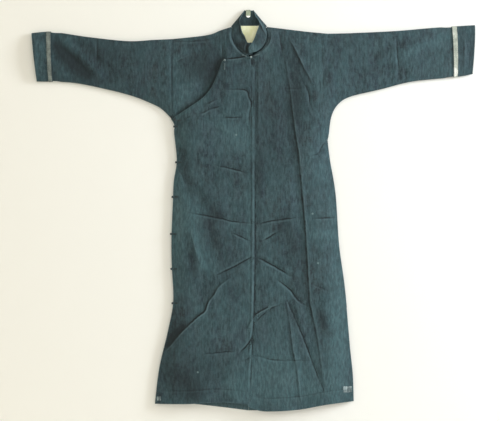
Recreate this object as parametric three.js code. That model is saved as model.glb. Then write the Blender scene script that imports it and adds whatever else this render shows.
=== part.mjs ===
// A long robe of homespun cotton, a changshan, hung flat on a wall hook.
// Millimetres. +X is the wearer's left, +Z is up, the wall is y = 0 and the cloth hangs at y < 0.
// The origin is on the back of the hook's plate, where it meets the wall.
import * as THREE from 'three';

// Walls and gaps
const CLOTH_WALL = 2.0;
const TAPE_WALL = 1.0;
const HOOK_WALL = 1.6;
const SEAM_GAP = 0.3;
const LAYER_STEP = CLOTH_WALL + SEAM_GAP;
// A point this near a seam belongs to it; the armhole's line leans, so its reach is wider
const SEAM_REACH = 1;
const ARMHOLE_REACH = 6;

// Depths: the folded edges lie at FOLD_DEPTH, the front swells forward and the back towards the wall
const FOLD_DEPTH = -8.0;
const FOLD_RADIUS = 3.2;
const FOLD_ANGLES = [45, 0, -45];
const SWELL_REACH = 75;
const BACK_SWELL = 1.6;
const LEFT_SWELL = 19;
const FLAP_SWELL = 16;
const OUTER_STEP = 2.6;
const OUTER_SWELL = 16.4;
// How far the outer front's free edge turns back towards the wall
const OUTER_TURN = 1.2;
const SLEEVE_SWELL_SHARE = 0.6;
const SLEEVE_THINNING = { from: 190, to: 430 };

// Counts of the panels' cells
const PANEL_COLUMNS = 12;
const YOKE_ROWS = 6;
const SKIRT_ROWS = 20;
const SLEEVE_ROWS = 12;
const SLEEVE_COLUMNS = 9;

// The vents and the under-flap
const VENT_TOP = -990;
const FLAP_END = -1215;
const FLAP_FIRST_COLUMN = 4;
const FLAP_FULL_ROWS = 2;
const SIDE_INSET = 2.5;

// Outlines of the garment seen from the front, as x and z
const centreFront = outline([[8, -143], [19, -219], [20, -420], [20, -624], [18, -942], [10, -1131],
  [0, -1322]]);
const centreBack = outline([[0, -150], [0, -700], [0, -1337]]);
const LEFT = {
  sign: 1,
  shoulder: outline([[62, -38], [128, -46], [203, -55], [269, -61]]),
  neckline: outline([[8, -143], [33, -125], [48, -113], [56, -98], [65, -72], [62, -41.2]]),
  yokeLine: outline([[8, -143], [100, -215], [190, -320], [264.8, -422]]),
  backYokeLine: outline([[0, -150], [100, -215], [190, -320], [264.8, -422]]),
  side: outline([[268, -422], [276, -489], [295, -604], [307, -776], [327, -925], [344, -1117], [354, -1215],
    [357, -1305]]),
  frontHem: [[0, -1322], [40, -1335], [89, -1336], [177, -1330], [262, -1314], [353.8, -1305]],
  backHem: [[0, -1337], [89, -1336], [177, -1330], [262, -1314], [353.8, -1305]],
  sleeveTop: outline([[269, -61], [351, -59], [497, -52], [629, -41], [766, -32]]),
  sleeveBottom: outline([[268, -422], [272, -402], [280, -344], [301, -303], [343, -275], [446, -250], [556, -223],
    [702, -208], [759, -198]]),
  cuffStart: 0.841,
  cuffLag: 0.315,
};
const RIGHT = {
  sign: -1,
  shoulder: outline([[-58, -38], [-95, -50], [-140, -66], [-255, -79]]),
  neckline: outline([[8, -143], [-19, -129], [-38, -111], [-47, -96], [-55, -72], [-58, -41.2]]),
  yokeLine: outline([[8, -143], [-73, -152], [-88, -157], [-100, -189], [-122, -241], [-152, -279], [-199, -313],
    [-256.8, -350]]),
  backYokeLine: outline([[0, -150], [-100, -190], [-190, -270], [-256.8, -350]]),
  side: outline([[-260, -350], [-247.5, -374], [-249.5, -398], [-240.5, -489], [-250.5, -560], [-253.5, -628],
    [-258.5, -753], [-257.5, -844], [-252.5, -965], [-269.5, -1063], [-299.5, -1191], [-314.5, -1313]]),
  frontHem: [[0, -1322], [-14, -1311], [-96, -1306], [-203, -1311], [-311.3, -1313]],
  backHem: [[0, -1337], [-96, -1325], [-203, -1314], [-311.3, -1313]],
  sleeveTop: outline([[-255, -79], [-321, -82], [-410, -86], [-545, -72], [-665, -55], [-734, -59]]),
  sleeveBottom: outline([[-260, -350], [-293, -317], [-325, -299], [-394, -272], [-487, -248], [-597, -227],
    [-717, -223]]),
  cuffStart: 0.862,
  cuffLag: 0.2,
};
const BACK_NECK = { edge: -34, rowsAcross: 2 };
const TAPE_SHARE = 0.034;

// The largest creases of the front: a line, half its width, and its depth (a ridge is negative)
const CREASES = [
  { name: 'long press line', line: [[122, -159], [144, -312], [168, -481], [188, -702], [201, -925], [223, -1056],
    [250, -1261]], half: 24, depth: 4.5 },
  { name: 'ridge beside it', line: [[150, -159], [172, -312], [196, -481], [216, -702], [229, -925], [252, -1056],
    [279, -1261]], half: 24, depth: -3 },
  { name: 'skirt ray inner', line: [[129, -959], [151, -1122], [179, -1320]], half: 26, depth: 4 },
  { name: 'skirt ray outer', line: [[129, -959], [179, -1073], [235, -1222]], half: 26, depth: 3.5 },
  { name: 'chevron right half', line: [[-104, -877], [10, -817]], half: 28, depth: 4 },
  { name: 'chevron left half', line: [[30, -817], [143, -881]], half: 28, depth: 4 },
  { name: 'long sweep', line: [[-69, -894], [-114, -945], [-168, -1019], [-262, -1117]], half: 30, depth: 5 },
  { name: 'short sweep', line: [[99, -894], [193, -979]], half: 26, depth: 3.5 },
  { name: 'hip line right half', line: [[-193, -668], [10, -703]], half: 24, depth: 2.5 },
  { name: 'hip line left half', line: [[35, -705], [159, -684]], half: 24, depth: 2.5 },
  { name: 'shoulder ridge', line: [[139, -78], [170, -140], [215, -228]], half: 24, depth: -3 },
  { name: 'underarm pull', line: [[262, -425], [239, -465], [174, -483]], half: 24, depth: 5 },
  { name: 'right sleeve valley', line: [[-662, -77], [-519, -222]], half: 34, depth: 3 },
  { name: 'left sleeve fold', line: [[501, -68], [511, -217]], half: 26, depth: 2 },
  { name: 'left sleeve diagonal', line: [[430, -133], [592, -93]], half: 24, depth: 2 },
  { name: 'chest hollow right', line: [[-195, -490], [-194, -604], [-104, -678]], half: 45, depth: 3 },
];
// The back's own creases, lifted off the wall
const BACK_CREASES = [
  { name: 'back press line', line: [[-150, -180], [-178, -640], [-215, -1240]], half: 26, depth: 4 },
  { name: 'back chevron', line: [[-110, -900], [0, -840], [110, -890]], half: 30, depth: 4 },
  { name: 'back sweep', line: [[60, -930], [150, -1040], [240, -1150]], half: 30, depth: 4 },
  { name: 'back sleeve valley', line: [[640, -80], [530, -215]], half: 34, depth: 2 },
  { name: 'back sleeve fold', line: [[-480, -85], [-500, -235]], half: 26, depth: 2 },
];
const HEM_WAVES = { level: 1330, height: 260, length: 150, depth: 2.2 };

// The standing collar: its base and top edge, with depths, from the right front end round the back
const COLLAR = [
  { name: 'right front end', base: [-4, -136], baseY: -25, top: [-3, -95], topY: -27.5 },
  { name: 'right front', base: [-19, -127], baseY: -25, top: [-8, -88], topY: -28 },
  { name: 'right front curve', base: [-37, -110], baseY: -25, top: [-15, -72], topY: -28 },
  { name: 'right side', base: [-46, -95], baseY: -24, top: [-24, -57], topY: -26 },
  { name: 'right side upper', base: [-53.4, -73], baseY: -20.5, top: [-27, -34], topY: -22 },
  { name: 'right neck point front', base: [-56, -56], baseY: -15.5, top: [-30, -17], topY: -17 },
  { name: 'right fold front', base: [-55.5, -43], baseY: -11.4, top: [-22, 3], topY: -11.5 },
  { name: 'right fold', base: [-58, -36.5], baseY: -8.2, top: [-14, 18], topY: -6.5 },
  { name: 'right fold back', base: [-54, -33.6], baseY: -4.8, top: [-10.5, 18], topY: -2.2 },
  { name: 'back right', base: [-28, -33.6], baseY: -4, top: [-6, 18], topY: -2.2 },
  { name: 'back middle', base: [2, -33.6], baseY: -4, top: [2, 18], topY: -2.2 },
  { name: 'back left', base: [32, -33.6], baseY: -4, top: [9, 18], topY: -2.2 },
  { name: 'left fold back', base: [58, -33.9], baseY: -4.8, top: [13.5, 18], topY: -2.2 },
  { name: 'left fold', base: [62, -36.5], baseY: -8.2, top: [17, 18], topY: -6.5 },
  { name: 'left fold front', base: [59.2, -43], baseY: -11.4, top: [23, 0], topY: -11.5 },
  { name: 'left neck point front', base: [61.4, -57], baseY: -16, top: [36, -21], topY: -17 },
  { name: 'left side upper', base: [61.8, -72], baseY: -21, top: [35, -37], topY: -23 },
  { name: 'left side', base: [58.4, -87], baseY: -25, top: [30, -57], topY: -27 },
  { name: 'left front curve', base: [54, -98], baseY: -28, top: [23, -78], topY: -29.5 },
  { name: 'left front', base: [46, -111], baseY: -30, top: [12, -95], topY: -31 },
  { name: 'left front end', base: [30, -123], baseY: -31, top: [4, -105], topY: -32 },
  { name: 'left rounded corner', base: [10, -133], baseY: -31.5, top: [1, -118], topY: -32 },
];
const COLLAR_ROWS = 3;
const COLLAR_SWELL = 1.6;

// The pale facing inside the back of the neck: half its width down its height
const FACING = [
  { z: -34.8, half: 47 },
  { z: -52, half: 52 },
  { z: -75, half: 50 },
  { z: -98, half: 40 },
  { z: -116, half: 24 },
];

// Knotted buttons: the knot, the cloth loop's two ends, and at the neck the knot's own leg
const KNOT_RADIUS = 3.7;
// How far a side knot's middle lies past the outer front's free edge
const KNOT_OVERHANG = 1.5;
// How much nearer to the cloth a side knot sits because its back is round
const KNOT_SINK = 0.7;
const LOOP_HALF = 2.24;
const LOOP_CROWN = 0.4;
const BUTTONS = [
  { name: 'neck', knot: [8.5, -144], loop: [[-22, -135.5], [-5, -141]], leg: [[16.5, -142], [36, -132]],
    onEdge: false },
  { name: 'corner', knot: [-80, -154], loop: [[-80, -162], [-81, -187]], onEdge: false },
  { name: 'underarm', knot: [-249, -352], loop: [[-241, -355], [-228, -357]], onEdge: false },
  { name: 'side_1', knotZ: -376, onEdge: true },
  { name: 'side_2', knotZ: -497, onEdge: true },
  { name: 'side_3', knotZ: -614, onEdge: true },
  { name: 'side_4', knotZ: -739, onEdge: true },
  { name: 'side_5', knotZ: -857, onEdge: true },
  { name: 'side_6', knotZ: -973, onEdge: true },
];
const EDGE_LOOP = { start: 3.4, length: 14 };

// Small pale tabs at the corners of the hem
const HEM_TABS = [
  { name: 'right_hem_tab', x: [-310, -297], z: [-1302, -1288] },
  { name: 'left_hem_tab', x: [321, 349], z: [-1274, -1254] },
];

// The wall hook: a flat strip bent over the collar's top edge, with a rounded tip
const HOOK = { centreX: -1, halfWidth: 7.8, bottom: -26, bend: 17.6, top: 20.2, reach: -7, tip: -6 };

const COLOURS = {
  cloth: 0x3e5258,
  facing: 0xdcdcb9,
  rightTape: 0x767f76,
  leftTape: 0xbcc1b2,
  tab: 0x9aa5ab,
  metal: 0xaab4a6,
};

function outline(points) {
  return new THREE.SplineCurve(points.map(([x, z]) => new THREE.Vector2(x, z)));
}

// A point inside an outline: turn is 1 where the cloth lies clockwise of the way along it, or -1
function insideOf(curve, share, turn, distance) {
  const point = curve.getPointAt(share);
  const way = curve.getTangentAt(share);
  return new THREE.Vector2(point.x + turn * way.y * distance, point.y - turn * way.x * distance);
}

// Distance of a point in the garment's plane from the folded and sewn edges
const edgeSamples = [];
for (const half of [LEFT, RIGHT]) {
  for (const curve of [half.shoulder, half.sleeveTop, half.sleeveBottom, half.side]) {
    edgeSamples.push(curve.getSpacedPoints(48));
  }
}
function edgeDistance(x, z) {
  let nearest = Infinity;
  for (const line of edgeSamples) nearest = Math.min(nearest, lineDistance(line, x, z).distance);
  return nearest;
}
function lineDistance(line, x, z) {
  let distance = Infinity;
  let share = 0;
  for (let i = 0; i + 1 < line.length; i++) {
    const start = line[i];
    const run = { x: line[i + 1].x - start.x, z: line[i + 1].y - start.y };
    const along = ((x - start.x) * run.x + (z - start.y) * run.z) / (run.x ** 2 + run.z ** 2);
    const held = THREE.MathUtils.clamp(along, 0, 1);
    const gap = Math.hypot(x - start.x - held * run.x, z - start.y - held * run.z);
    if (gap < distance) {
      distance = gap;
      share = (i + held) / (line.length - 1);
    }
  }
  return { distance, share };
}

// How far the creases push the cloth at a point; each is a soft bell across and fades at its ends
function prepare(table) {
  return table.map((row) => ({ ...row, line: row.line.map(([x, z]) => new THREE.Vector2(x, z)) }));
}
const frontCreases = prepare(CREASES);
const backCreases = prepare(BACK_CREASES);
function creaseAt(table, x, z) {
  let depth = 0;
  for (const crease of table) {
    const { distance, share } = lineDistance(crease.line, x, z);
    if (distance > crease.half) continue;
    const across = 0.5 + 0.5 * Math.cos(Math.PI * distance / crease.half);
    depth += crease.depth * across * Math.sqrt(Math.sin(Math.PI * THREE.MathUtils.clamp(share, 0.06, 0.94)));
  }
  return depth;
}
function hemWave(x, z) {
  const hem = THREE.MathUtils.smoothstep(-z, HEM_WAVES.level - HEM_WAVES.height, HEM_WAVES.level);
  return HEM_WAVES.depth * hem * Math.sin(2 * Math.PI * x / HEM_WAVES.length);
}

function swell(distance) {
  const share = Math.min(distance / SWELL_REACH, 1);
  return 1 - (1 - share) ** 2;
}
function swellShare(x) {
  const { from, to } = SLEEVE_THINNING;
  return 1 - (1 - SLEEVE_SWELL_SHARE) * THREE.MathUtils.smoothstep(Math.abs(x), from, to);
}
function edgeFade(distance) {
  return THREE.MathUtils.smoothstep(distance, FOLD_RADIUS, 40);
}
// Outer faces of the front and the back at a point, as y
function frontDepth(x, z, step, rise, distance = edgeDistance(x, z)) {
  const rest = FOLD_DEPTH - step - FOLD_RADIUS - rise * swellShare(x) * swell(distance - FOLD_RADIUS);
  return rest + (creaseAt(frontCreases, x, z) + hemWave(x, z)) * edgeFade(distance);
}
function backDepth(x, z, distance = edgeDistance(x, z)) {
  const rest = FOLD_DEPTH + FOLD_RADIUS + BACK_SWELL * swellShare(x) * swell(distance - FOLD_RADIUS);
  return rest - creaseAt(backCreases, x, z) * edgeFade(distance);
}

// A patch between four boundary curves, as plane points in rows from the first curve to the second
function blend(first, second, inner, outer, rows, columns) {
  const grid = [];
  for (let i = 0; i <= rows; i++) {
    const v = i / rows;
    const row = [];
    for (let j = 0; j <= columns; j++) {
      const u = j / columns;
      const point = first(u).multiplyScalar(1 - v).addScaledVector(second(u), v);
      point.addScaledVector(inner(v), 1 - u).addScaledVector(outer(v), u);
      point.addScaledVector(first(0), -(1 - u) * (1 - v)).addScaledVector(first(1), -u * (1 - v));
      point.addScaledVector(second(0), -(1 - u) * v).addScaledVector(second(1), -u * v);
      row.push(point);
    }
    grid.push(row);
  }
  return grid;
}
function mapGrid(grid, depth) {
  return grid.map((row) => row.map((p) => new THREE.Vector3(p.x, depth(p.x, p.y), p.y)));
}

// A closed wall from one or more patches of its outer face, welded where they share points.
// square(point) is true where the wall's edge is cut straight across, along a seam.
function wallOf(patches, wall, square = () => false) {
  const points = [];
  const found = new Map();
  const number = (p) => {
    const key = [p.x, p.y, p.z].map((value) => value.toFixed(3)).join();
    if (!found.has(key)) found.set(key, points.push(p.clone()) - 1);
    return found.get(key);
  };
  const faces = [];
  const addFace = (a, b, c, flip) => {
    if (a !== b && b !== c && c !== a) faces.push(flip ? [a, c, b] : [a, b, c]);
  };
  for (const { grid, flip = false, keep = () => true } of patches) {
    for (let i = 0; i + 1 < grid.length; i++) {
      for (let j = 0; j + 1 < grid[i].length; j++) {
        if (!keep(i, j)) continue;
        const [p, q, r, s] = [grid[i][j], grid[i][j + 1], grid[i + 1][j + 1], grid[i + 1][j]];
        const [a, b, c, d] = [p, q, r, s].map(number);
        if (p.distanceTo(r) <= q.distanceTo(s)) {
          addFace(a, b, c, flip);
          addFace(a, c, d, flip);
        } else {
          addFace(a, b, d, flip);
          addFace(b, c, d, flip);
        }
      }
    }
  }
  const normals = points.map(() => new THREE.Vector3());
  const edges = new Set();
  for (const [a, b, c] of faces) {
    const across = new THREE.Vector3().subVectors(points[b], points[a]);
    across.cross(new THREE.Vector3().subVectors(points[c], points[a]));
    for (const index of [a, b, c]) normals[index].add(across);
    for (const [from, to] of [[a, b], [b, c], [c, a]]) edges.add(`${from},${to}`);
  }
  const inner = points.map((p, index) => {
    const normal = normals[index];
    if (square(p)) normal.x = 0;
    return p.clone().addScaledVector(normal.normalize(), -wall);
  });
  const count = points.length;
  const indices = [];
  for (const [a, b, c] of faces) indices.push(a, b, c, count + a, count + c, count + b);
  for (const edge of edges) {
    const [a, b] = edge.split(',').map(Number);
    if (!edges.has(`${b},${a}`)) indices.push(b, a, count + a, b, count + a, count + b);
  }
  const geometry = new THREE.BufferGeometry();
  const places = [...points, ...inner].flatMap((p) => [p.x, p.y, p.z]);
  geometry.setAttribute('position', new THREE.Float32BufferAttribute(places, 3));
  geometry.setIndex(indices);
  geometry.computeVertexNormals();
  return geometry;
}

// The fold between a front row and a back row of an outline: front face, round the edge, back face
function foldRow(curve, share, turn, radius = FOLD_RADIUS, base = 0) {
  const centre = insideOf(curve, share, turn, FOLD_RADIUS + base);
  const out = insideOf(curve, share, turn, base).sub(centre).normalize();
  return FOLD_ANGLES.map((angle) => {
    const turned = THREE.MathUtils.degToRad(angle);
    const reach = radius * Math.cos(turned);
    const place = centre.clone().addScaledVector(out, reach);
    return new THREE.Vector3(place.x, FOLD_DEPTH - radius * Math.sin(turned), place.y);
  });
}

// Plane grids of one half: the yoke above the yoke line, and the skirt below it
function halfGrids(half, yokeLine, hemPoints, innerYoke, innerSkirt) {
  const turn = half.sign;
  const hem = outline(hemPoints);
  const shoulderEdge = (u) => insideOf(half.shoulder, u, turn, FOLD_RADIUS);
  const armhole = new THREE.LineCurve(yokeLine.getPointAt(1), shoulderEdge(1));
  const yoke = blend((u) => yokeLine.getPointAt(u), shoulderEdge, innerYoke, (v) => armhole.getPointAt(v),
    YOKE_ROWS, PANEL_COLUMNS);
  const skirt = blend((u) => yokeLine.getPointAt(u), (u) => hem.getPointAt(u), innerSkirt,
    (v) => insideOf(half.side, v, turn, FOLD_RADIUS), SKIRT_ROWS, PANEL_COLUMNS);
  skirt[0] = yoke[0].map((point) => point.clone());
  for (const row of [...yoke, ...skirt]) row[0].x += turn * SEAM_GAP / 2;
  return { yoke, skirt };
}
function backInner(half) {
  const corner = new THREE.Vector2(0, BACK_NECK.edge);
  const neckPoint = insideOf(half.shoulder, 0, half.sign, FOLD_RADIUS);
  const cornerShare = 1 - BACK_NECK.rowsAcross / YOKE_ROWS;
  return (v) => {
    if (v >= cornerShare) return corner.clone().lerp(neckPoint, (v - cornerShare) / (1 - cornerShare));
    return centreBack.getPointAt(0).lerp(corner, v / cornerShare);
  };
}

// Front and back of one half, in one cloth over the shoulder and joined down the side to the vent
function halfPanel(half, rise, keepSkirt) {
  const turn = half.sign;
  const front = halfGrids(half, half.yokeLine, half.frontHem, (v) => half.neckline.getPointAt(v),
    (v) => centreFront.getPointAt(v));
  const back = halfGrids(half, half.backYokeLine, half.backHem, backInner(half),
    (v) => centreBack.getPointAt(v));
  const frontPoints = (grid) => mapGrid(grid, (x, z) => frontDepth(x, z, 0, rise));
  const backPoints = (grid) => mapGrid(grid, (x, z) => backDepth(x, z));
  const [frontYoke, frontSkirt] = [frontPoints(front.yoke), frontPoints(front.skirt)];
  frontSurfaces.push(frontYoke, frontSkirt);
  const [backYoke, backSkirt] = [backPoints(back.yoke), backPoints(back.skirt)];
  const shoulder = frontYoke[YOKE_ROWS].map((point, j) => {
    const fold = foldRow(half.shoulder, j / PANEL_COLUMNS, turn);
    if (j === 0) for (const p of fold) p.x = point.x;
    return [point, ...fold, backYoke[YOKE_ROWS][j]];
  });
  const side = frontSkirt.map((row, i) => {
    const fold = foldRow(half.side, i / SKIRT_ROWS, turn);
    return [row[PANEL_COLUMNS], ...fold, backSkirt[i][PANEL_COLUMNS]];
  });
  const isOpen = (i) => side[i + 1][0].z < VENT_TOP;
  const isVent = (i, j) => isOpen(i) && (j === 1 || j === 2);
  const keepSide = (i, j) => !isVent(i, j) && (j > 0 || keepSkirt(i, PANEL_COLUMNS - 1));
  const mirrored = half.sign < 0;
  const seamX = half.shoulder.getPointAt(1).x;
  const underarm = half.side.getPointAt(0).y;
  const atSeam = (p) => Math.abs(p.x) < SEAM_REACH || isArmhole(p, seamX, underarm) || isCentreFront(p);
  return wallOf([
    { grid: frontYoke, flip: mirrored },
    { grid: frontSkirt, flip: !mirrored, keep: keepSkirt },
    { grid: backYoke, flip: !mirrored },
    { grid: backSkirt, flip: mirrored },
    { grid: shoulder, flip: !mirrored },
    { grid: side, flip: !mirrored, keep: keepSide },
  ], CLOTH_WALL, atSeam);
}
const seamLine = centreFront.getSpacedPoints(60);
function isCentreFront(p) {
  return p.y < 2 * FOLD_DEPTH && lineDistance(seamLine, p.x, p.z).distance < SEAM_REACH;
}
function isArmhole(p, seamX, underarm) {
  return Math.abs(p.x - seamX) < ARMHOLE_REACH && p.z > underarm - SEAM_REACH;
}

// The overlapping right front, on the same points as the under-flap and moved out from it
function outerFrontGrid() {
  const { skirt } = halfGrids(RIGHT, RIGHT.yokeLine, RIGHT.frontHem, (v) => RIGHT.neckline.getPointAt(v),
    (v) => centreFront.getPointAt(v));
  const grid = mapGrid(skirt, (x, z) => frontDepth(x, z, OUTER_STEP, OUTER_SWELL));
  const overhang = FOLD_RADIUS + SIDE_INSET - SEAM_GAP;
  for (const row of grid) {
    const last = row[PANEL_COLUMNS];
    row.push(new THREE.Vector3(last.x - overhang, last.y + OUTER_TURN, last.z));
  }
  return grid;
}
const outerGrid = outerFrontGrid();
// Where the outer front's free edge lies at a height
function sideEdge(z) {
  const edge = outerGrid.map((row) => row[row.length - 1]);
  const below = edge.findIndex((p) => p.z <= z);
  const [from, to] = [edge[below - 1], edge[below]];
  return THREE.MathUtils.lerp(from.x, to.x, (z - from.z) / (to.z - from.z));
}

// The bottom edge's share beside a share of the top edge: later towards the cuff, by the half's lag
function bottomShare(half, share) {
  const left = 1 - share;
  return 1 - left * (1 - half.cuffLag * (1 - left ** 2));
}
// One ring of a sleeve at a share of its length; layer moves it out for the cuff and its tape
function sleeveRing(half, rise, share, layer) {
  const below = bottomShare(half, share);
  const turn = half.sign;
  const base = LAYER_STEP * THREE.MathUtils.smoothstep(share, half.cuffStart - 0.08, half.cuffStart - 0.03);
  const radius = FOLD_RADIUS + layer;
  const top = insideOf(half.sleeveTop, share, turn, FOLD_RADIUS + base);
  const bottom = insideOf(half.sleeveBottom, below, -turn, FOLD_RADIUS + base);
  const front = [];
  const back = [];
  for (let j = 0; j <= SLEEVE_COLUMNS; j++) {
    const p = top.clone().lerp(bottom, j / SLEEVE_COLUMNS);
    const distance = j === 0 || j === SLEEVE_COLUMNS ? FOLD_RADIUS : edgeDistance(p.x, p.y);
    front.push(new THREE.Vector3(p.x, frontDepth(p.x, p.y, layer, rise, distance), p.y));
    back.push(new THREE.Vector3(p.x, backDepth(p.x, p.y, distance) + layer, p.y));
  }
  const topFold = foldRow(half.sleeveTop, share, turn, radius, base);
  const bottomFold = foldRow(half.sleeveBottom, below, -turn, radius, base);
  return [...front, ...bottomFold, ...back.reverse(), ...topFold.reverse(), front[0].clone()];
}
function sleeveTube(half, rise, from, to, rows, layer, wall) {
  const grid = [];
  for (let i = 0; i <= rows; i++) {
    grid.push(sleeveRing(half, rise, THREE.MathUtils.lerp(from, to, i / rows), layer));
  }
  if (from === 0) for (const p of grid[0]) p.x += half.sign * SEAM_GAP;
  const seamX = half.sleeveTop.getPointAt(0).x;
  const underarm = half.side.getPointAt(0).y;
  const atSeam = (p) => from === 0 && isArmhole(p, seamX, underarm);
  return wallOf([{ grid, flip: half.sign < 0 }], wall, atSeam);
}

// The collar's band, a little fuller between its base and its top edge
function collarBand() {
  const grid = [];
  for (let i = 0; i <= COLLAR_ROWS; i++) {
    const v = i / COLLAR_ROWS;
    grid.push(COLLAR.map(({ base, baseY, top, topY }) => {
      const bulge = COLLAR_SWELL * Math.sin(Math.PI * v) * (baseY < -8 ? 1 : 0);
      const from = new THREE.Vector3(base[0], baseY, base[1]);
      const place = from.lerp(new THREE.Vector3(top[0], topY, top[1]), v);
      return place.setY(place.y - bulge);
    }));
  }
  return wallOf([{ grid, flip: true }], CLOTH_WALL);
}

function facingCloth() {
  const columns = 6;
  const grid = FACING.map(({ z, half }) => {
    const row = [];
    for (let j = 0; j <= columns; j++) {
      const x = 2 + half * (2 * j / columns - 1);
      row.push(new THREE.Vector3(x, backDepth(x, z) - LAYER_STEP - TAPE_WALL - 0.5, z));
    }
    return row;
  });
  return wallOf([{ grid, flip: true }], TAPE_WALL);
}

// A cloth ball with a flattened back, its axis along y
function knotBall(centre) {
  const outlinePoints = [];
  const steps = 6;
  for (let i = 0; i <= steps; i++) {
    const angle = Math.PI * (i / steps - 0.5);
    outlinePoints.push(new THREE.Vector2(KNOT_RADIUS * Math.cos(angle), KNOT_RADIUS * Math.sin(angle)));
  }
  outlinePoints[0].x = 0;
  outlinePoints[steps].x = 0;
  const ball = new THREE.LatheGeometry(outlinePoints, 10);
  return ball.translate(centre.x, centre.y, centre.z);
}
// The most forward place of the front panels' outer faces at a point of the garment's plane
const frontSurfaces = [outerGrid];
function panelDepth(x, z) {
  const probe = new THREE.Vector3(x, 0, z);
  let depth = 0;
  for (const corners of frontSurfaces.flatMap(cellTriangles)) {
    const flat = corners.map((corner) => new THREE.Vector3(corner.x, 0, corner.z));
    const share = THREE.Triangle.getBarycoord(probe, ...flat, new THREE.Vector3());
    if (!share || Math.min(share.x, share.y, share.z) < 0) continue;
    depth = Math.min(depth, corners[0].y * share.x + corners[1].y * share.y + corners[2].y * share.z);
  }
  return depth;
}
// Both ways of cutting each cell in two
function cellTriangles(grid) {
  const triangles = [];
  for (let i = 0; i + 1 < grid.length; i++) {
    for (let j = 0; j + 1 < grid[i].length; j++) {
      const [p, q, r, s] = [grid[i][j], grid[i][j + 1], grid[i + 1][j + 1], grid[i + 1][j]];
      triangles.push([p, q, r], [p, r, s], [p, q, s], [q, r, s]);
    }
  }
  return triangles;
}
// A narrow folded strip that lies on the front between two points
function loopStrip(start, end) {
  const way = new THREE.Vector2(end[0] - start[0], end[1] - start[1]).normalize();
  const across = new THREE.Vector2(-way.y, way.x).multiplyScalar(LOOP_HALF);
  const grid = [];
  const rows = 3;
  for (let i = 0; i <= rows; i++) {
    const middle = new THREE.Vector2(...start).lerp(new THREE.Vector2(...end), i / rows);
    grid.push([-1, 0, 1].map((side) => {
      const [x, z] = [middle.x + side * across.x, middle.y + side * across.y];
      const y = panelDepth(x, z) - SEAM_GAP - CLOTH_WALL - (side === 0 ? LOOP_CROWN : 0);
      return new THREE.Vector3(x, y, z);
    }));
  }
  return wallOf([{ grid, flip: true }], CLOTH_WALL);
}

// The hook's strip: up the wall, forward over the collar's edge and down to a rounded tip
function hookStrip() {
  const { centreX, halfWidth, bottom, bend, top, reach, tip } = HOOK;
  const path = [[0, bottom, 1], [0, 0, 1], [0, bend, 1], [-0.9, top - 0.7, 1], [-2.6, top, 1],
    [reach + 2.6, top, 1], [reach + 0.7, top - 0.9, 1], [reach, bend, 1], [reach, tip + 7.8, 1],
    [reach, tip + 3.6, 0.86], [reach, tip + 1.1, 0.5], [reach, tip, 0.18]];
  const grid = path.map(([y, z, share]) => [-1, 0, 1].map((side) => (
    new THREE.Vector3(centreX + side * halfWidth * share, y, z))));
  return wallOf([{ grid, flip: true }], HOOK_WALL);
}

const robe = new THREE.Group();
function add(name, geometry, colour, roughness = 0.9, metalness = 0) {
  const material = new THREE.MeshStandardMaterial({ color: colour, roughness, metalness });
  const mesh = new THREE.Mesh(geometry, material);
  mesh.name = name;
  robe.add(mesh);
}

const allCells = () => true;
// The under-flap is narrower than the front that covers it, and ends above the hem
const [sideTop, sideEnd] = [RIGHT.side.getPointAt(0).y, RIGHT.side.getPointAt(1).y];
const flapRows = Math.floor(SKIRT_ROWS * (FLAP_END - sideTop) / (sideEnd - sideTop));
const flapCells = (i, j) => i < FLAP_FULL_ROWS || (i < flapRows && j >= FLAP_FIRST_COLUMN);
add('left_half', halfPanel(LEFT, LEFT_SWELL, allCells), COLOURS.cloth);
add('right_half', halfPanel(RIGHT, FLAP_SWELL, flapCells), COLOURS.cloth);
add('outer_front', wallOf([{ grid: outerGrid }], CLOTH_WALL, isCentreFront), COLOURS.cloth);
for (const [side, half, rise, tape] of [['left', LEFT, LEFT_SWELL, COLOURS.leftTape],
  ['right', RIGHT, FLAP_SWELL, COLOURS.rightTape]]) {
  const start = half.cuffStart;
  add(`${side}_sleeve`, sleeveTube(half, rise, 0, 1, SLEEVE_ROWS, 0, CLOTH_WALL), COLOURS.cloth);
  add(`${side}_cuff`, sleeveTube(half, rise, start, 1, 3, LAYER_STEP, CLOTH_WALL), COLOURS.cloth);
  add(`${side}_cuff_tape`, sleeveTube(half, rise, start + 0.004, start + TAPE_SHARE, 1,
    LAYER_STEP + TAPE_WALL + SEAM_GAP, TAPE_WALL), tape);
}
add('collar', collarBand(), COLOURS.cloth);
add('neck_facing', facingCloth(), COLOURS.facing);
for (const { name, knot, knotZ, loop, leg, onEdge } of BUTTONS) {
  const edge = onEdge ? sideEdge(knotZ) : 0;
  const place = onEdge ? [edge - KNOT_OVERHANG, knotZ] : knot;
  const loopStart = edge + EDGE_LOOP.start;
  const strip = onEdge ? [[loopStart, knotZ], [loopStart + EDGE_LOOP.length, knotZ]] : loop;
  const ahead = KNOT_RADIUS + SEAM_GAP - (onEdge ? KNOT_SINK : 0);
  const depth = panelDepth(onEdge ? edge + KNOT_OVERHANG : place[0], place[1]) - ahead;
  add(`${name}_knot`, knotBall(new THREE.Vector3(place[0], depth, place[1])), COLOURS.cloth);
  add(`${name}_loop`, loopStrip(...strip), COLOURS.cloth);
  if (leg) add(`${name}_knot_leg`, loopStrip(...leg), COLOURS.cloth);
}
for (const { name, x, z } of HEM_TABS) {
  const grid = z.map((height) => x.map((place) => (
    new THREE.Vector3(place, panelDepth(place, height) - SEAM_GAP - TAPE_WALL, height))));
  add(name, wallOf([{ grid }], TAPE_WALL), COLOURS.tab);
}
add('wall_hook', hookStrip(), COLOURS.metal, 0.4, 0.8);

export default robe;
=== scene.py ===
"""A homespun changshan hung flat on a wall hook: its cloth, trims, hook and stage."""

import math

import bmesh
import bpy
import numpy as np
from mathutils import Matrix, Vector, kdtree


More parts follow.
